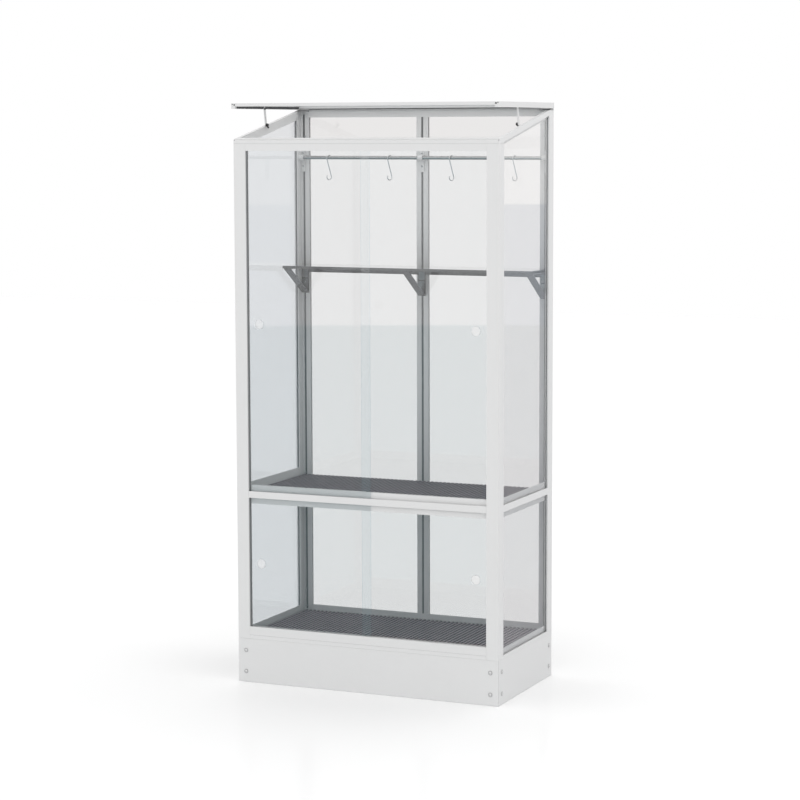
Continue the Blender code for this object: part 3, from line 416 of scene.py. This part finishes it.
def float_glass(name, across, tint, dimmed):
    """Clear faces square to one axis, and slightly deeper, ground edges round them."""
    glass = bpy.data.materials.new(name)
    glass.use_nodes = True
    tree = glass.node_tree
    tree.nodes.clear()
    output = tree.nodes.new("ShaderNodeOutputMaterial")
    through = tree.nodes.new("ShaderNodeBsdfTransparent")
    mirror = tree.nodes.new("ShaderNodeBsdfGlossy")
    mirror.inputs["Color"].default_value = (1.0, 1.0, 1.0, 1.0)
    mirror.inputs["Roughness"].default_value = GLASS_POLISH
    glance = tree.nodes.new("ShaderNodeLayerWeight")
    glance.inputs["Blend"].default_value = 0.5
    steep = tree.nodes.new("ShaderNodeMath")
    steep.operation = "POWER"
    steep.inputs[1].default_value = 5.0
    share = tree.nodes.new("ShaderNodeMapRange")
    share.inputs["To Min"].default_value = SHARE_HEAD_ON
    share.inputs["To Max"].default_value = 1.0
    place = tree.nodes.new("ShaderNodeTexCoord")
    grind = tree.nodes.new("ShaderNodeTexNoise")
    grind.inputs["Scale"].default_value = 300.0
    depth = tree.nodes.new("ShaderNodeMix")
    depth.data_type = "RGBA"
    depth.inputs["A"].default_value = (*(c * 0.96 for c in EDGE_TINT), 1.0)
    depth.inputs["B"].default_value = (*(c * 1.04 for c in EDGE_TINT), 1.0)
    along = tree.nodes.new("ShaderNodeVectorMath")
    along.operation = "DOT_PRODUCT"
    along.inputs[1].default_value = across
    size = tree.nodes.new("ShaderNodeMath")
    size.operation = "ABSOLUTE"
    is_face = tree.nodes.new("ShaderNodeMath")
    is_face.operation = "GREATER_THAN"
    is_face.inputs[1].default_value = 0.9
    view = tree.nodes.new("ShaderNodeLightPath")
    body = tree.nodes.new("ShaderNodeMix")
    body.data_type = "RGBA"
    body.inputs["A"].default_value = (*(c * dimmed for c in tint), 1.0)
    clearly_seen = tree.nodes.new("ShaderNodeMath")
    clearly_seen.operation = "MAXIMUM"
    body.inputs["B"].default_value = (*tint, 1.0)
    colour = tree.nodes.new("ShaderNodeMix")
    colour.data_type = "RGBA"
    whole = tree.nodes.new("ShaderNodeMixShader")
    tree.links.new(glance.outputs["Facing"], steep.inputs[0])
    tree.links.new(steep.outputs["Value"], share.inputs["Value"])
    tree.links.new(share.outputs["Result"], whole.inputs["Fac"])
    tree.links.new(place.outputs["Object"], grind.inputs["Vector"])
    tree.links.new(grind.outputs["Fac"], depth.inputs["Factor"])
    tree.links.new(depth.outputs["Result"], colour.inputs["A"])
    tree.links.new(place.outputs["Normal"], along.inputs[0])
    tree.links.new(along.outputs["Value"], size.inputs[0])
    tree.links.new(size.outputs["Value"], is_face.inputs[0])
    tree.links.new(is_face.outputs["Value"], colour.inputs["Factor"])
    tree.links.new(view.outputs["Is Camera Ray"], clearly_seen.inputs[0])
    tree.links.new(view.outputs["Is Glossy Ray"], clearly_seen.inputs[1])
    tree.links.new(clearly_seen.outputs["Value"], body.inputs["Factor"])
    tree.links.new(body.outputs["Result"], colour.inputs["B"])
    tree.links.new(colour.outputs["Result"], through.inputs["Color"])
    tree.links.new(through.outputs["BSDF"], whole.inputs[1])
    tree.links.new(mirror.outputs["BSDF"], whole.inputs[2])
    tree.links.new(whole.outputs["Shader"], output.inputs["Surface"])
    return glass


PANES = {"left_side_glass": ((1.0, 0.0, 0.0), LEFT_TINT, ("pane_left_lower", "pane_left_upper")),
         "right_side_glass": ((1.0, 0.0, 0.0), CLEAR_TINT, ("pane_right_lower", "pane_right_upper")),
         "rear_glass": ((0.0, 1.0, 0.0), REAR_TINT, ("pane_rear_left", "pane_rear_right")),
         "door_glass": ((0.0, 1.0, 0.0), DOOR_TINT, ("door_upper_left", "door_upper_right", "door_lower_left",
                                                      "door_lower_right")),
         "lid_pane_glass": ((0.0, 0.0, 1.0), CLEAR_TINT, ("lid_glass",))}
for glass_name, (across, tint, pane_names) in PANES.items():
    glass = float_glass(glass_name, across, tint, 1.0 if pane_names == ("lid_glass",) else DIMMED)
    for name in pane_names:
        nodes[name].material_slots[0].material = glass

# ---- Door edge seals ------------------------------------------------------------------------------------
# A grey rubber channel pushed over the closing edge of each door, which meets the post and muffles the door.
SEAL_REACH = 0.0036
SEAL_WALL = 0.0006
SEAL_WEB = 0.0004
SEAL_FIT = 0.00005
SEAL_INSET = 0.001


def extrude_outline(shape, corners, along):
    """Raise a flat outline along a vector to a closed solid."""
    base = shape.faces.new([shape.verts.new(corner) for corner in corners])
    raised = bmesh.ops.extrude_face_region(shape, geom=[base])
    moved = [part for part in raised["geom"] if isinstance(part, bmesh.types.BMVert)]
    bmesh.ops.translate(shape, verts=moved, vec=along)
    bmesh.ops.recalc_face_normals(shape, faces=shape.faces)


seal_rubber = moulded("grey_seal_rubber", (0.21, 0.215, 0.22), 0.6)
for level in ("upper", "lower"):
    for side_name, side in (("left", -1), ("right", 1)):
        low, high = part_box(f"door_{level}_{side_name}")
        edge = low.x if side < 0 else high.x
        out = edge + side * SEAL_WEB
        tip = edge - side * SEAL_REACH
        front = low.y - SEAL_WALL
        back = high.y + SEAL_WALL
        near, far = low.y - SEAL_FIT, high.y + SEAL_FIT
        z = low.z + SEAL_INSET
        corners = [(out, front, z), (tip, front, z), (tip, near, z), (edge, near, z),
                   (edge, far, z), (tip, far, z), (tip, back, z), (out, back, z)]
        shape = bmesh.new()
        extrude_outline(shape, corners, (0.0, 0.0, high.z - low.z - 2 * SEAL_INSET))
        add_piece(f"edge_seal_{level}_{side_name}", shape, f"sliding_door_{level}_{side_name}", seal_rubber)

# ---- Door pulls -----------------------------------------------------------------------------------------
# Round flush pulls, moulded in two halves from milky plastic and clipped together through the glass.
# Each has a thin rounded flange and a shallow finger dish on both faces.
PULL_RADIUS = 0.016
PULL_HOLE = 0.0142
PULL_DISH = 0.0014
PULL_FLANGE = 0.0015
PULL_SOLIDITY = 0.15


def shade_round(piece, angle=35):
    """Smooth shading that keeps the corners sharper than an angle."""
    piece.data.shade_smooth()
    piece.data.set_sharp_from_angle(angle=math.radians(angle))


def milky_plastic(name):
    """Clear-ish moulded plastic that scatters some of the light it lets through."""
    plastic = bpy.data.materials.new(name)
    plastic.use_nodes = True
    tree = plastic.node_tree
    shader = tree.nodes["Principled BSDF"]
    shader.inputs["Roughness"].default_value = 0.28
    shader.inputs["Alpha"].default_value = PULL_SOLIDITY
    place = tree.nodes.new("ShaderNodeTexCoord")
    cloud = tree.nodes.new("ShaderNodeTexNoise")
    cloud.inputs["Scale"].default_value = 160.0
    tone = tree.nodes.new("ShaderNodeMix")
    tone.data_type = "RGBA"
    tone.inputs["A"].default_value = (0.84, 0.86, 0.86, 1.0)
    tone.inputs["B"].default_value = (0.92, 0.93, 0.93, 1.0)
    tree.links.new(place.outputs["Object"], cloud.inputs["Vector"])
    tree.links.new(cloud.outputs["Fac"], tone.inputs["Factor"])
    tree.links.new(tone.outputs["Result"], shader.inputs["Base Color"])
    return plastic


milky = milky_plastic("milky_plastic")
for level in ("upper", "lower"):
    for side_name in ("left", "right"):
        low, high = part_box(f"pull_{level}_{side_name}")
        middle = (low + high) / 2
        half = (high.y - low.y) / 2
        glass_half = half - PULL_FLANGE
        r = PULL_RADIUS
        rim = [(0.0, half - PULL_DISH), (r * 0.55, half - PULL_DISH), (r * 0.76, half - PULL_DISH * 0.7),
               (r * 0.86, half - 0.0001), (r * 0.92, half), (r * 0.985, half - 0.0005), (r, glass_half),
               (PULL_HOLE, glass_half)]
        profile = rim + [(radius, -h) for radius, h in reversed(rim)]
        shape = bmesh.new()
        turn_profile(shape, profile, 48)
        bmesh.ops.transform(shape, verts=shape.verts, matrix=facing(middle, (0.0, -1.0, 0.0)))
        pull = add_piece(f"flush_pull_{level}_{side_name}", shape, f"sliding_door_{level}_{side_name}", milky)
        shade_round(pull)
        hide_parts(f"pull_{level}_{side_name}")

# ---- Decks ----------------------------------------------------------------------------------------------
# Dark grey wood-and-plastic planks extruded with front-to-back ribs. The die and the wire brush leave fine
# lines along the ribs and a slightly uneven, dry tone.
DECK_DARK = (0.175, 0.150, 0.163)
DECK_LIGHT = (0.290, 0.248, 0.270)
# Painted light: the same board is coloured lighter in the bottom deck and darker in the middle one, to set how
# lit each looks.
DECK_PAINTED_LIGHT = {"deck_middle": 0.92, "deck_bottom": 1.46}
# The rib grooves get painted shade: their colour fades nearly to black from the crowns down to the groove
# bottoms.
RIB_DEPTH = 0.003
RIB_CROWN = 0.0003
GROOVE_SHADE_LEVEL = 0.02


def brushed_composite(name, top, painted_light_scale):
    """Dry board with brushed lines along the ribs, and painted shade darkening from the ribs' crowns down into
    the grooves.
    """
    compound = bpy.data.materials.new(name)
    compound.use_nodes = True
    tree = compound.node_tree
    shader = tree.nodes["Principled BSDF"]
    shader.inputs["Roughness"].default_value = 0.62
    shader.inputs["Specular IOR Level"].default_value = 0.2
    place = tree.nodes.new("ShaderNodeTexCoord")
    along_ribs = tree.nodes.new("ShaderNodeMapping")
    along_ribs.inputs["Scale"].default_value = (1.0, 0.03, 1.0)
    lines = tree.nodes.new("ShaderNodeTexNoise")
    lines.inputs["Scale"].default_value = 700.0
    lines.inputs["Detail"].default_value = 5.0
    patches = tree.nodes.new("ShaderNodeTexNoise")
    patches.inputs["Scale"].default_value = 9.0
    blend = tree.nodes.new("ShaderNodeMix")
    blend.data_type = "FLOAT"
    blend.inputs["Factor"].default_value = 0.4
    tone = tree.nodes.new("ShaderNodeMix")
    tone.data_type = "RGBA"
    tone.inputs["A"].default_value = (*(c * painted_light_scale for c in DECK_DARK), 1.0)
    tone.inputs["B"].default_value = (*(c * painted_light_scale for c in DECK_LIGHT), 1.0)
    bump = tree.nodes.new("ShaderNodeBump")
    bump.inputs["Strength"].default_value = 0.35
    bump.inputs["Distance"].default_value = 0.0003
    tree.links.new(place.outputs["Object"], along_ribs.inputs["Vector"])
    tree.links.new(along_ribs.outputs["Vector"], lines.inputs["Vector"])
    tree.links.new(place.outputs["Object"], patches.inputs["Vector"])
    tree.links.new(lines.outputs["Fac"], blend.inputs["A"])
    tree.links.new(patches.outputs["Fac"], blend.inputs["B"])
    tree.links.new(blend.outputs["Result"], tone.inputs["Factor"])
    # Painted shade: the colour is darkened by height, from the ribs' crowns down into the grooves.
    level = tree.nodes.new("ShaderNodeSeparateXYZ")
    depth = tree.nodes.new("ShaderNodeMapRange")
    depth.inputs["From Min"].default_value = top - RIB_DEPTH
    depth.inputs["From Max"].default_value = top - RIB_CROWN
    depth.inputs["To Min"].default_value = GROOVE_SHADE_LEVEL
    groove_shade = tree.nodes.new("ShaderNodeMix")
    groove_shade.data_type = "RGBA"
    groove_shade.inputs["A"].default_value = (0.0, 0.0, 0.0, 1.0)
    tree.links.new(place.outputs["Object"], level.inputs["Vector"])
    tree.links.new(level.outputs["Z"], depth.inputs["Value"])
    tree.links.new(depth.outputs["Result"], groove_shade.inputs["Factor"])
    tree.links.new(tone.outputs["Result"], groove_shade.inputs["B"])
    tree.links.new(groove_shade.outputs["Result"], shader.inputs["Base Color"])
    tree.links.new(lines.outputs["Fac"], bump.inputs["Height"])
    tree.links.new(bump.outputs["Normal"], shader.inputs["Normal"])
    return compound


for name, painted_light_scale in DECK_PAINTED_LIGHT.items():
    deck_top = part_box(name)[1].z
    nodes[name].material_slots[0].material = brushed_composite(f"brushed_{name}", deck_top, painted_light_scale)

# ---- Shelf and its brackets -----------------------------------------------------------------------------
# Folded aluminium sheet, flat bar and strip in a glossy dark grey coat. A light plate hooks each bracket's leg
# to the post or mullion and takes its screws.
PLATE_WIDTH = 0.021
PLATE_THICKNESS = 0.0006
PLATE_CUT = 0.0012
PLATE_SPANS = ((0.086, 0.041), (0.036, 0.010))
BRACKET_LEG = 0.0025
coat_grey = powder_coat("grey_powder_coat", (0.088, 0.090, 0.091), 0.08)
coat_grey.node_tree.nodes["Principled BSDF"].inputs["Coat Weight"].default_value = 1.0
for name in ("shelf", "rail_rear_shelf", "shelf_bracket_left", "shelf_bracket_middle", "shelf_bracket_right"):
    nodes[name].material_slots[0].material = coat_grey

plate_grey = plated_metal("dull_plate", (0.30, 0.30, 0.305), 0.42, 0.06)
shape = bmesh.new()
for name in ("left", "middle", "right"):
    low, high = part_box(f"shelf_bracket_{name}")
    x = (low.x + high.x) / 2
    face = high.y - BRACKET_LEG - PLATE_THICKNESS
    for bottom, top in PLATE_SPANS:
        base, crown, half = high.z - bottom, high.z - top, PLATE_WIDTH / 2
        corners = [(x - half + PLATE_CUT, face, base), (x + half - PLATE_CUT, face, base),
                   (x + half, face, base + PLATE_CUT), (x + half, face, crown - PLATE_CUT),
                   (x + half - PLATE_CUT, face, crown), (x - half + PLATE_CUT, face, crown),
                   (x - half, face, crown - PLATE_CUT), (x - half, face, base + PLATE_CUT)]
        extrude_outline(shape, corners, (0.0, PLATE_THICKNESS, 0.0))
add_piece("shelf_bracket_plates", shape, "cabinet", plate_grey)

# ---- Slot strips ----------------------------------------------------------------------------------------
# Dark strips at the bottom of the fixing slots in the rear posts and the mullion: painted shade in the slots.
SLOT_WIDTH = 0.0068
SLOT_DEPTH = 0.003
SLOT_POST = 0.428
STRIP_START = 0.012
STRIP_SHORT = 0.021
slot_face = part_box("rear_mullion")[0].y
slot_shade = moulded("slot_shade", (0.16, 0.162, 0.165), 0.7)
for name, x in (("rear_mullion", 0.0), ("post_rear_left", -SLOT_POST), ("post_rear_right", SLOT_POST)):
    low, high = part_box(name)
    shape = bmesh.new()
    half = SLOT_WIDTH / 2
    y = slot_face + SLOT_DEPTH - 0.0001
    z = low.z + STRIP_START
    corners = [(x - half, y, z), (x + half, y, z), (x + half, y - 0.0008, z),
               (x + half * 0.4, y - 0.0014, z), (x - half * 0.4, y - 0.0014, z), (x - half, y - 0.0008, z)]
    extrude_outline(shape, corners, (0.0, 0.0, high.z - low.z - STRIP_SHORT))
    add_piece(f"slot_shade_strip_{name}", shape, "cabinet", slot_shade)

# ---- Shadow lines on the front rails --------------------------------------------------------------------
# Thin grey strips across the front are painted shadow lines where the rails step: one over the sill, two along
# the top cap.
SHADOW_LINE_HALF = 0.0004
SHADOW_LINE_SINK = 0.0002
SHADOW_LINE_RISE = 0.0003
SILL_LINE = (0.1548, 0.4088)
CAP_LINE = (1.7278, 0.4495)
CAP_EDGE_DROP = 0.0045
front_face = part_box("post_front_left")[0].y
cap_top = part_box("rail_front_top")[1].z
shadow_line_grey = powder_coat("painted_shadow_line", (0.42, 0.42, 0.42), 0.5)
shape = bmesh.new()
for z, half_width in (SILL_LINE, CAP_LINE, (cap_top - CAP_EDGE_DROP, CAP_LINE[1])):
    extrude_outline(shape, [(-half_width, front_face + SHADOW_LINE_SINK, z - SHADOW_LINE_HALF),
                            (-half_width, front_face + SHADOW_LINE_SINK, z + SHADOW_LINE_HALF),
                            (-half_width, front_face - SHADOW_LINE_RISE, z + SHADOW_LINE_HALF * 0.5),
                            (-half_width, front_face - SHADOW_LINE_RISE, z - SHADOW_LINE_HALF * 0.5)],
                    (2 * half_width, 0.0, 0.0))
add_piece("front_rail_shadow_lines", shape, "cabinet", shadow_line_grey)

# ---- Corner caps ----------------------------------------------------------------------------------------
# Grey moulded caps close the tops of the rear posts under the lid, and small dark discs near the cap rail's
# ends are painted shade in its open profile ends.
CAP_LOW = 0.0001
CAP_INSET = 0.0004
CAP_DEPTH = 0.0415
CAP_CREST = 0.0100
CAP_HEIGHT = 0.0063
CAP_END_SHADE_PLACE = 0.4494
cap_grey = moulded("grey_cap_plastic", (0.30, 0.30, 0.305), 0.5)
post_low, post_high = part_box("post_rear_left")
shape = bmesh.new()
for x in (post_low.x + CAP_INSET, -post_high.x):
    z = post_high.z + CAP_LOW
    corners = [(x, post_high.y - CAP_DEPTH, z), (x, post_high.y - CAP_INSET, z),
               (x, post_high.y - CAP_INSET, z + CAP_HEIGHT), (x, post_high.y - CAP_CREST, z + CAP_HEIGHT)]
    extrude_outline(shape, corners, (post_high.x - post_low.x - CAP_INSET, 0.0, 0.0))
add_piece("rear_corner_caps", shape, "cabinet", cap_grey)
# Painted shade: small dark discs at the cap rail's ends stand for the shade in its open ends.
shape = bmesh.new()
for x in (-CAP_END_SHADE_PLACE, CAP_END_SHADE_PLACE):
    bmesh.ops.create_cone(shape, cap_ends=True, segments=12, radius1=0.0014, radius2=0.0011, depth=0.0006,
                          matrix=facing((x * 0.9965, front_face - 0.0002, cap_top - 0.0075), (0.0, -1.0, 0.0)))
add_piece("cap_rail_end_shades", shape, "cabinet", painted_recess_shade)

# ---- Screws inside the frame ----------------------------------------------------------------------------
# Small pan-head screws with a cross recess, zinc plated, that hold the brackets and the rails to the posts.
SCREW_RADIUS = 0.0034
SCREW_HEIGHT = 0.0022
SHELF_SCREW_DROPS = (0.052, 0.074)
FRAME_SCREWS = ((0.424, 0.2243), (0.431, 0.1645), (0.431, 0.2163), (0.431, 0.6211), (0.424, 1.749))
screw = bmesh.new()
turn_profile(screw, [(0.0, SCREW_HEIGHT), (SCREW_RADIUS * 0.5, SCREW_HEIGHT * 0.94),
                     (SCREW_RADIUS * 0.85, SCREW_HEIGHT * 0.62), (SCREW_RADIUS, SCREW_HEIGHT * 0.12),
                     (SCREW_RADIUS, 0.0), (0.0, 0.0)], 20)
screw_mesh = small_mesh("pan_head_screw", screw)
cross = bmesh.new()
for angle in (0.0, 90.0):
    bmesh.ops.create_cube(cross, size=1.0, matrix=Matrix.Rotation(math.radians(angle), 4, "Z")
                          @ Matrix.Translation((0, 0, SCREW_HEIGHT * 0.72))
                          @ Matrix.Diagonal((SCREW_RADIUS * 1.15, SCREW_RADIUS * 0.24, SCREW_HEIGHT * 0.6, 1)))
cross_mesh = small_mesh("cross_recess", cross)

screw_places = []
post_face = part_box("rear_mullion")[0].y
for name in ("left", "middle", "right"):
    low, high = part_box(f"shelf_bracket_{name}")
    x = (low.x + high.x) / 2
    y = high.y - BRACKET_LEG - PLATE_THICKNESS
    for drop in SHELF_SCREW_DROPS:
        screw_places.append((x, y, high.z - drop))
    low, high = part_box(f"rod_bracket_{name}")
    x = (low.x + high.x) / 2
    y = high.y - BRACKET_LEG
    for z in (high.z - 0.006, low.z + 0.019):
        screw_places.append((x, y, z))
for side in (-1, 1):
    for x, z in FRAME_SCREWS:
        screw_places.append((side * x, post_face, z))
heads = bmesh.new()
recesses = bmesh.new()
for place in screw_places:
    stamp(heads, screw_mesh, facing(place, (0.0, -1.0, 0.0)))
    stamp(recesses, cross_mesh, facing(place, (0.0, -1.0, 0.0)))
shade_round(add_piece("frame_screw_heads", heads, "cabinet", zinc), 50)
# The cross recesses are dark blocks sunk into the heads: painted shade.
add_piece("frame_screw_recesses", recesses, "cabinet", painted_recess_shade)

# ---- Hanging rod and hooks ------------------------------------------------------------------------------
# A drawn steel rod with rounded ends, and S-hooks bent from thin wire, both bright zinc plated.
WIRE_RADIUS = 0.0015
CURL_RADIUS = 0.0090
HOOK_TIP = 35
HOOK_TWIST = math.radians(30.0)

bright = plated_metal("bright_wire", (0.62, 0.62, 0.62), 0.30, 0.05)
rod_steel = plated_metal("drawn_rod", (0.42, 0.42, 0.42), 0.24, 0.05)
low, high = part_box("hanging_rod")
rod_middle = (low + high) / 2
rod_radius = (high.z - low.z) / 2
rod_half = (high.x - low.x) / 2
end = [(0.0, rod_half), (rod_radius * 0.8, rod_half), (rod_radius, rod_half - 0.0008)]
shape = bmesh.new()
turn_profile(shape, end + [(r, -h) for r, h in reversed(end)], 32)
bmesh.ops.transform(shape, verts=shape.verts, matrix=facing(rod_middle, (1.0, 0.0, 0.0)))
rod = add_piece("drawn_rod", shape, "cabinet", rod_steel)
shade_round(rod)
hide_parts("hanging_rod")

for number in range(1, 5):
    low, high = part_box(f"hook_{number}")
    x = (low.x + high.x) / 2
    y = (low.y + high.y) / 2
    top = Vector((x, y, high.z - WIRE_RADIUS - CURL_RADIUS))
    foot = Vector((x, y, low.z + WIRE_RADIUS + CURL_RADIUS))
    lean = math.degrees(math.asin(2 * CURL_RADIUS / (top.z - foot.z)))
    tip_angle = math.radians(-HOOK_TIP)
    tip = top + CURL_RADIUS * Vector((0.0, math.cos(tip_angle), math.sin(tip_angle)))
    shape = bmesh.new()
    ring = bmesh.ops.create_circle(shape, segments=12, radius=WIRE_RADIUS,
                                   matrix=facing(tip, (0.0, -math.sin(tip_angle), math.cos(tip_angle))))
    first = {edge for vert in ring["verts"] for edge in vert.link_edges}
    arc = bmesh.ops.spin(shape, geom=list(ring["verts"]) + list(first), cent=top, axis=(1, 0, 0),
                         angle=math.radians(180 + lean + HOOK_TIP), steps=20)
    shank_start = [part for part in arc["geom_last"] if isinstance(part, bmesh.types.BMEdge)]
    drawn = bmesh.ops.extrude_edge_only(shape, edges=shank_start)
    shank_end = [part for part in drawn["geom"] if isinstance(part, bmesh.types.BMVert)]
    slant = math.radians(lean)
    start = top + CURL_RADIUS * Vector((0.0, -math.cos(slant), -math.sin(slant)))
    finish = foot + CURL_RADIUS * Vector((0.0, math.cos(slant), math.sin(slant)))
    bmesh.ops.translate(shape, verts=shank_end, vec=finish - start)
    shank_edges = [part for part in drawn["geom"] if isinstance(part, bmesh.types.BMEdge)
                   and all(vert in shank_end for vert in part.verts)]
    bmesh.ops.spin(shape, geom=shank_end + shank_edges, cent=foot, axis=(1, 0, 0),
                   angle=-math.radians(180 + lean + HOOK_TIP), steps=20)
    bmesh.ops.holes_fill(shape, edges=shape.edges, sides=0)
    bmesh.ops.recalc_face_normals(shape, faces=shape.faces)
    bmesh.ops.rotate(shape, verts=shape.verts, cent=(x, y, 0.0), matrix=Matrix.Rotation(-HOOK_TWIST, 3, "Z"))
    hook = add_piece(f"s_hook_wire_{number}", shape, f"s_hook_{number}", bright)
    shade_round(hook)
    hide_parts(f"hook_{number}")

# ---- Lid fittings ---------------------------------------------------------------------------------------
# Dark plastic caps close the rear ends of the lid's side bars, and small dark plugs fill the screw holes at its
# front corners. Thin dark strips low along the bars, where the pane and the frame meet them, are painted shade
# under the lid's frame.
CAP_THICKNESS = 0.0012
LID_SHADE_STRIP = 0.0008
LID_SHADE_STRIP_END = 0.012
black_nylon = moulded("black_nylon", (0.022, 0.022, 0.023), 0.45)
shape = bmesh.new()
for side_name in ("left", "right"):
    low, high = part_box(f"lid_bar_{side_name}")
    middle = (low + high) / 2
    size = high - low
    cap_place = Matrix.Translation((middle.x, high.y + CAP_THICKNESS / 2, middle.z))
    bmesh.ops.create_cube(shape, size=1.0,
                          matrix=cap_place @ Matrix.Diagonal((size.x, CAP_THICKNESS, size.z, 1.0)))
add_piece("lid_end_caps", shape, "lid", black_nylon)

# Painted shade: dark strips low on the rear bar's front and on the side bars' inner faces.
lid_bar_shade = moulded("lid_bar_painted_shade", (0.06, 0.06, 0.062), 0.6)
bar_low, bar_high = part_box("lid_bar_rear")
left_low, left_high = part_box("lid_bar_left")
right_low, right_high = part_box("lid_bar_right")
shape = bmesh.new()
strips = [((left_high.x + 0.002, bar_low.y - LID_SHADE_STRIP, bar_low.z),
           (right_low.x - 0.002, bar_low.y, bar_low.z + 0.0030)),
          ((left_high.x, left_low.y + LID_SHADE_STRIP_END, left_low.z + 0.0003),
           (left_high.x + LID_SHADE_STRIP, bar_low.y, left_low.z + 0.0085)),
          ((right_low.x - LID_SHADE_STRIP, right_low.y + LID_SHADE_STRIP_END, right_low.z + 0.0003),
           (right_low.x, bar_low.y, right_low.z + 0.0085))]
for corner, opposite in strips:
    middle = (Vector(corner) + Vector(opposite)) / 2
    size = Vector(opposite) - Vector(corner)
    bmesh.ops.create_cube(shape, size=1.0, matrix=Matrix.Translation(middle) @ Matrix.Diagonal((*size, 1.0)))
add_piece("lid_bar_shade_strips", shape, "lid", lid_bar_shade)

plug = bmesh.new()
turn_profile(plug, [(0.0, 0.0006), (0.0014, 0.0006), (0.0018, 0.0), (0.0, 0.0)], 16)
plug_mesh = small_mesh("screw_plug", plug)
shape = bmesh.new()
for side_name, inward in (("left", 1), ("right", -1)):
    low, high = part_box(f"lid_bar_{side_name}")
    outer = low.x if inward > 0 else high.x
    stamp(shape, plug_mesh, facing((outer + inward * 0.0035, low.y, high.z - 0.003), (0.0, -1.0, 0.0)))
add_piece("lid_corner_plugs", shape, "lid", black_nylon)

# ---- Lid stays ------------------------------------------------------------------------------------------
# A flat coated strip with round ends, a black pivot cap at the lid and a black clamping knob with a short
# lever at the side rail.
STAY_WIDTH = 0.012
STAY_THICKNESS = 0.0018
KNOB_RADIUS = 0.0050
KNOB_LENGTH = 0.0075
PIVOT_RADIUS = 0.0042
PIVOT_LENGTH = 0.0022
for side_name, side in (("left", -1), ("right", 1)):
    low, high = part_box(f"stay_{side_name}")
    joint = next(j for j in frame["joints"] if j["name"] == f"stay_{side_name}_pivot")
    pivot = Vector(joint["pos_m"])
    foot = Vector((pivot.x, high.y - STAY_WIDTH / 2, low.z + STAY_WIDTH / 2))
    body = f"stay_{side_name}_body"
    shape = bmesh.new()
    for end in (pivot, foot):
        bmesh.ops.create_cone(shape, cap_ends=True, segments=24, radius1=STAY_WIDTH / 2, radius2=STAY_WIDTH / 2,
                              depth=STAY_THICKNESS, matrix=facing(end, (1.0, 0.0, 0.0)))
    hull = bmesh.ops.convex_hull(shape, input=shape.verts)
    spare = hull["geom_interior"] + hull["geom_unused"]
    bmesh.ops.delete(shape, geom=list({part for part in spare if isinstance(part, bmesh.types.BMVert)}),
                     context="VERTS")
    bmesh.ops.recalc_face_normals(shape, faces=shape.faces)
    strip = add_piece(f"stay_strip_{side_name}", shape, body, coat_white)
    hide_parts(f"stay_{side_name}")

    shape = bmesh.new()
    inward = (-side, 0.0, 0.0)
    base = STAY_THICKNESS / 2
    for at, radius, length in ((pivot, PIVOT_RADIUS, PIVOT_LENGTH), (foot, KNOB_RADIUS, KNOB_LENGTH)):
        knob = bmesh.new()
        turn_profile(knob, [(0.0, base + length), (radius * 0.75, base + length),
                            (radius, base + length - 0.0012), (radius, base), (0.0, base)], 24)
        stamp(shape, small_mesh("knob", knob), facing(at, inward))
    lever = (Matrix.Translation(foot + Vector((-side * (base + 0.003), 0.0045, -0.0045)))
             @ Matrix.Rotation(math.radians(-45.0), 4, "X") @ Matrix.Diagonal((0.004, 0.013, 0.004, 1.0)))
    bmesh.ops.create_cube(shape, size=1.0, matrix=lever)
    knobs = add_piece(f"stay_knobs_{side_name}", shape, body, black_nylon)
    shade_round(knobs)
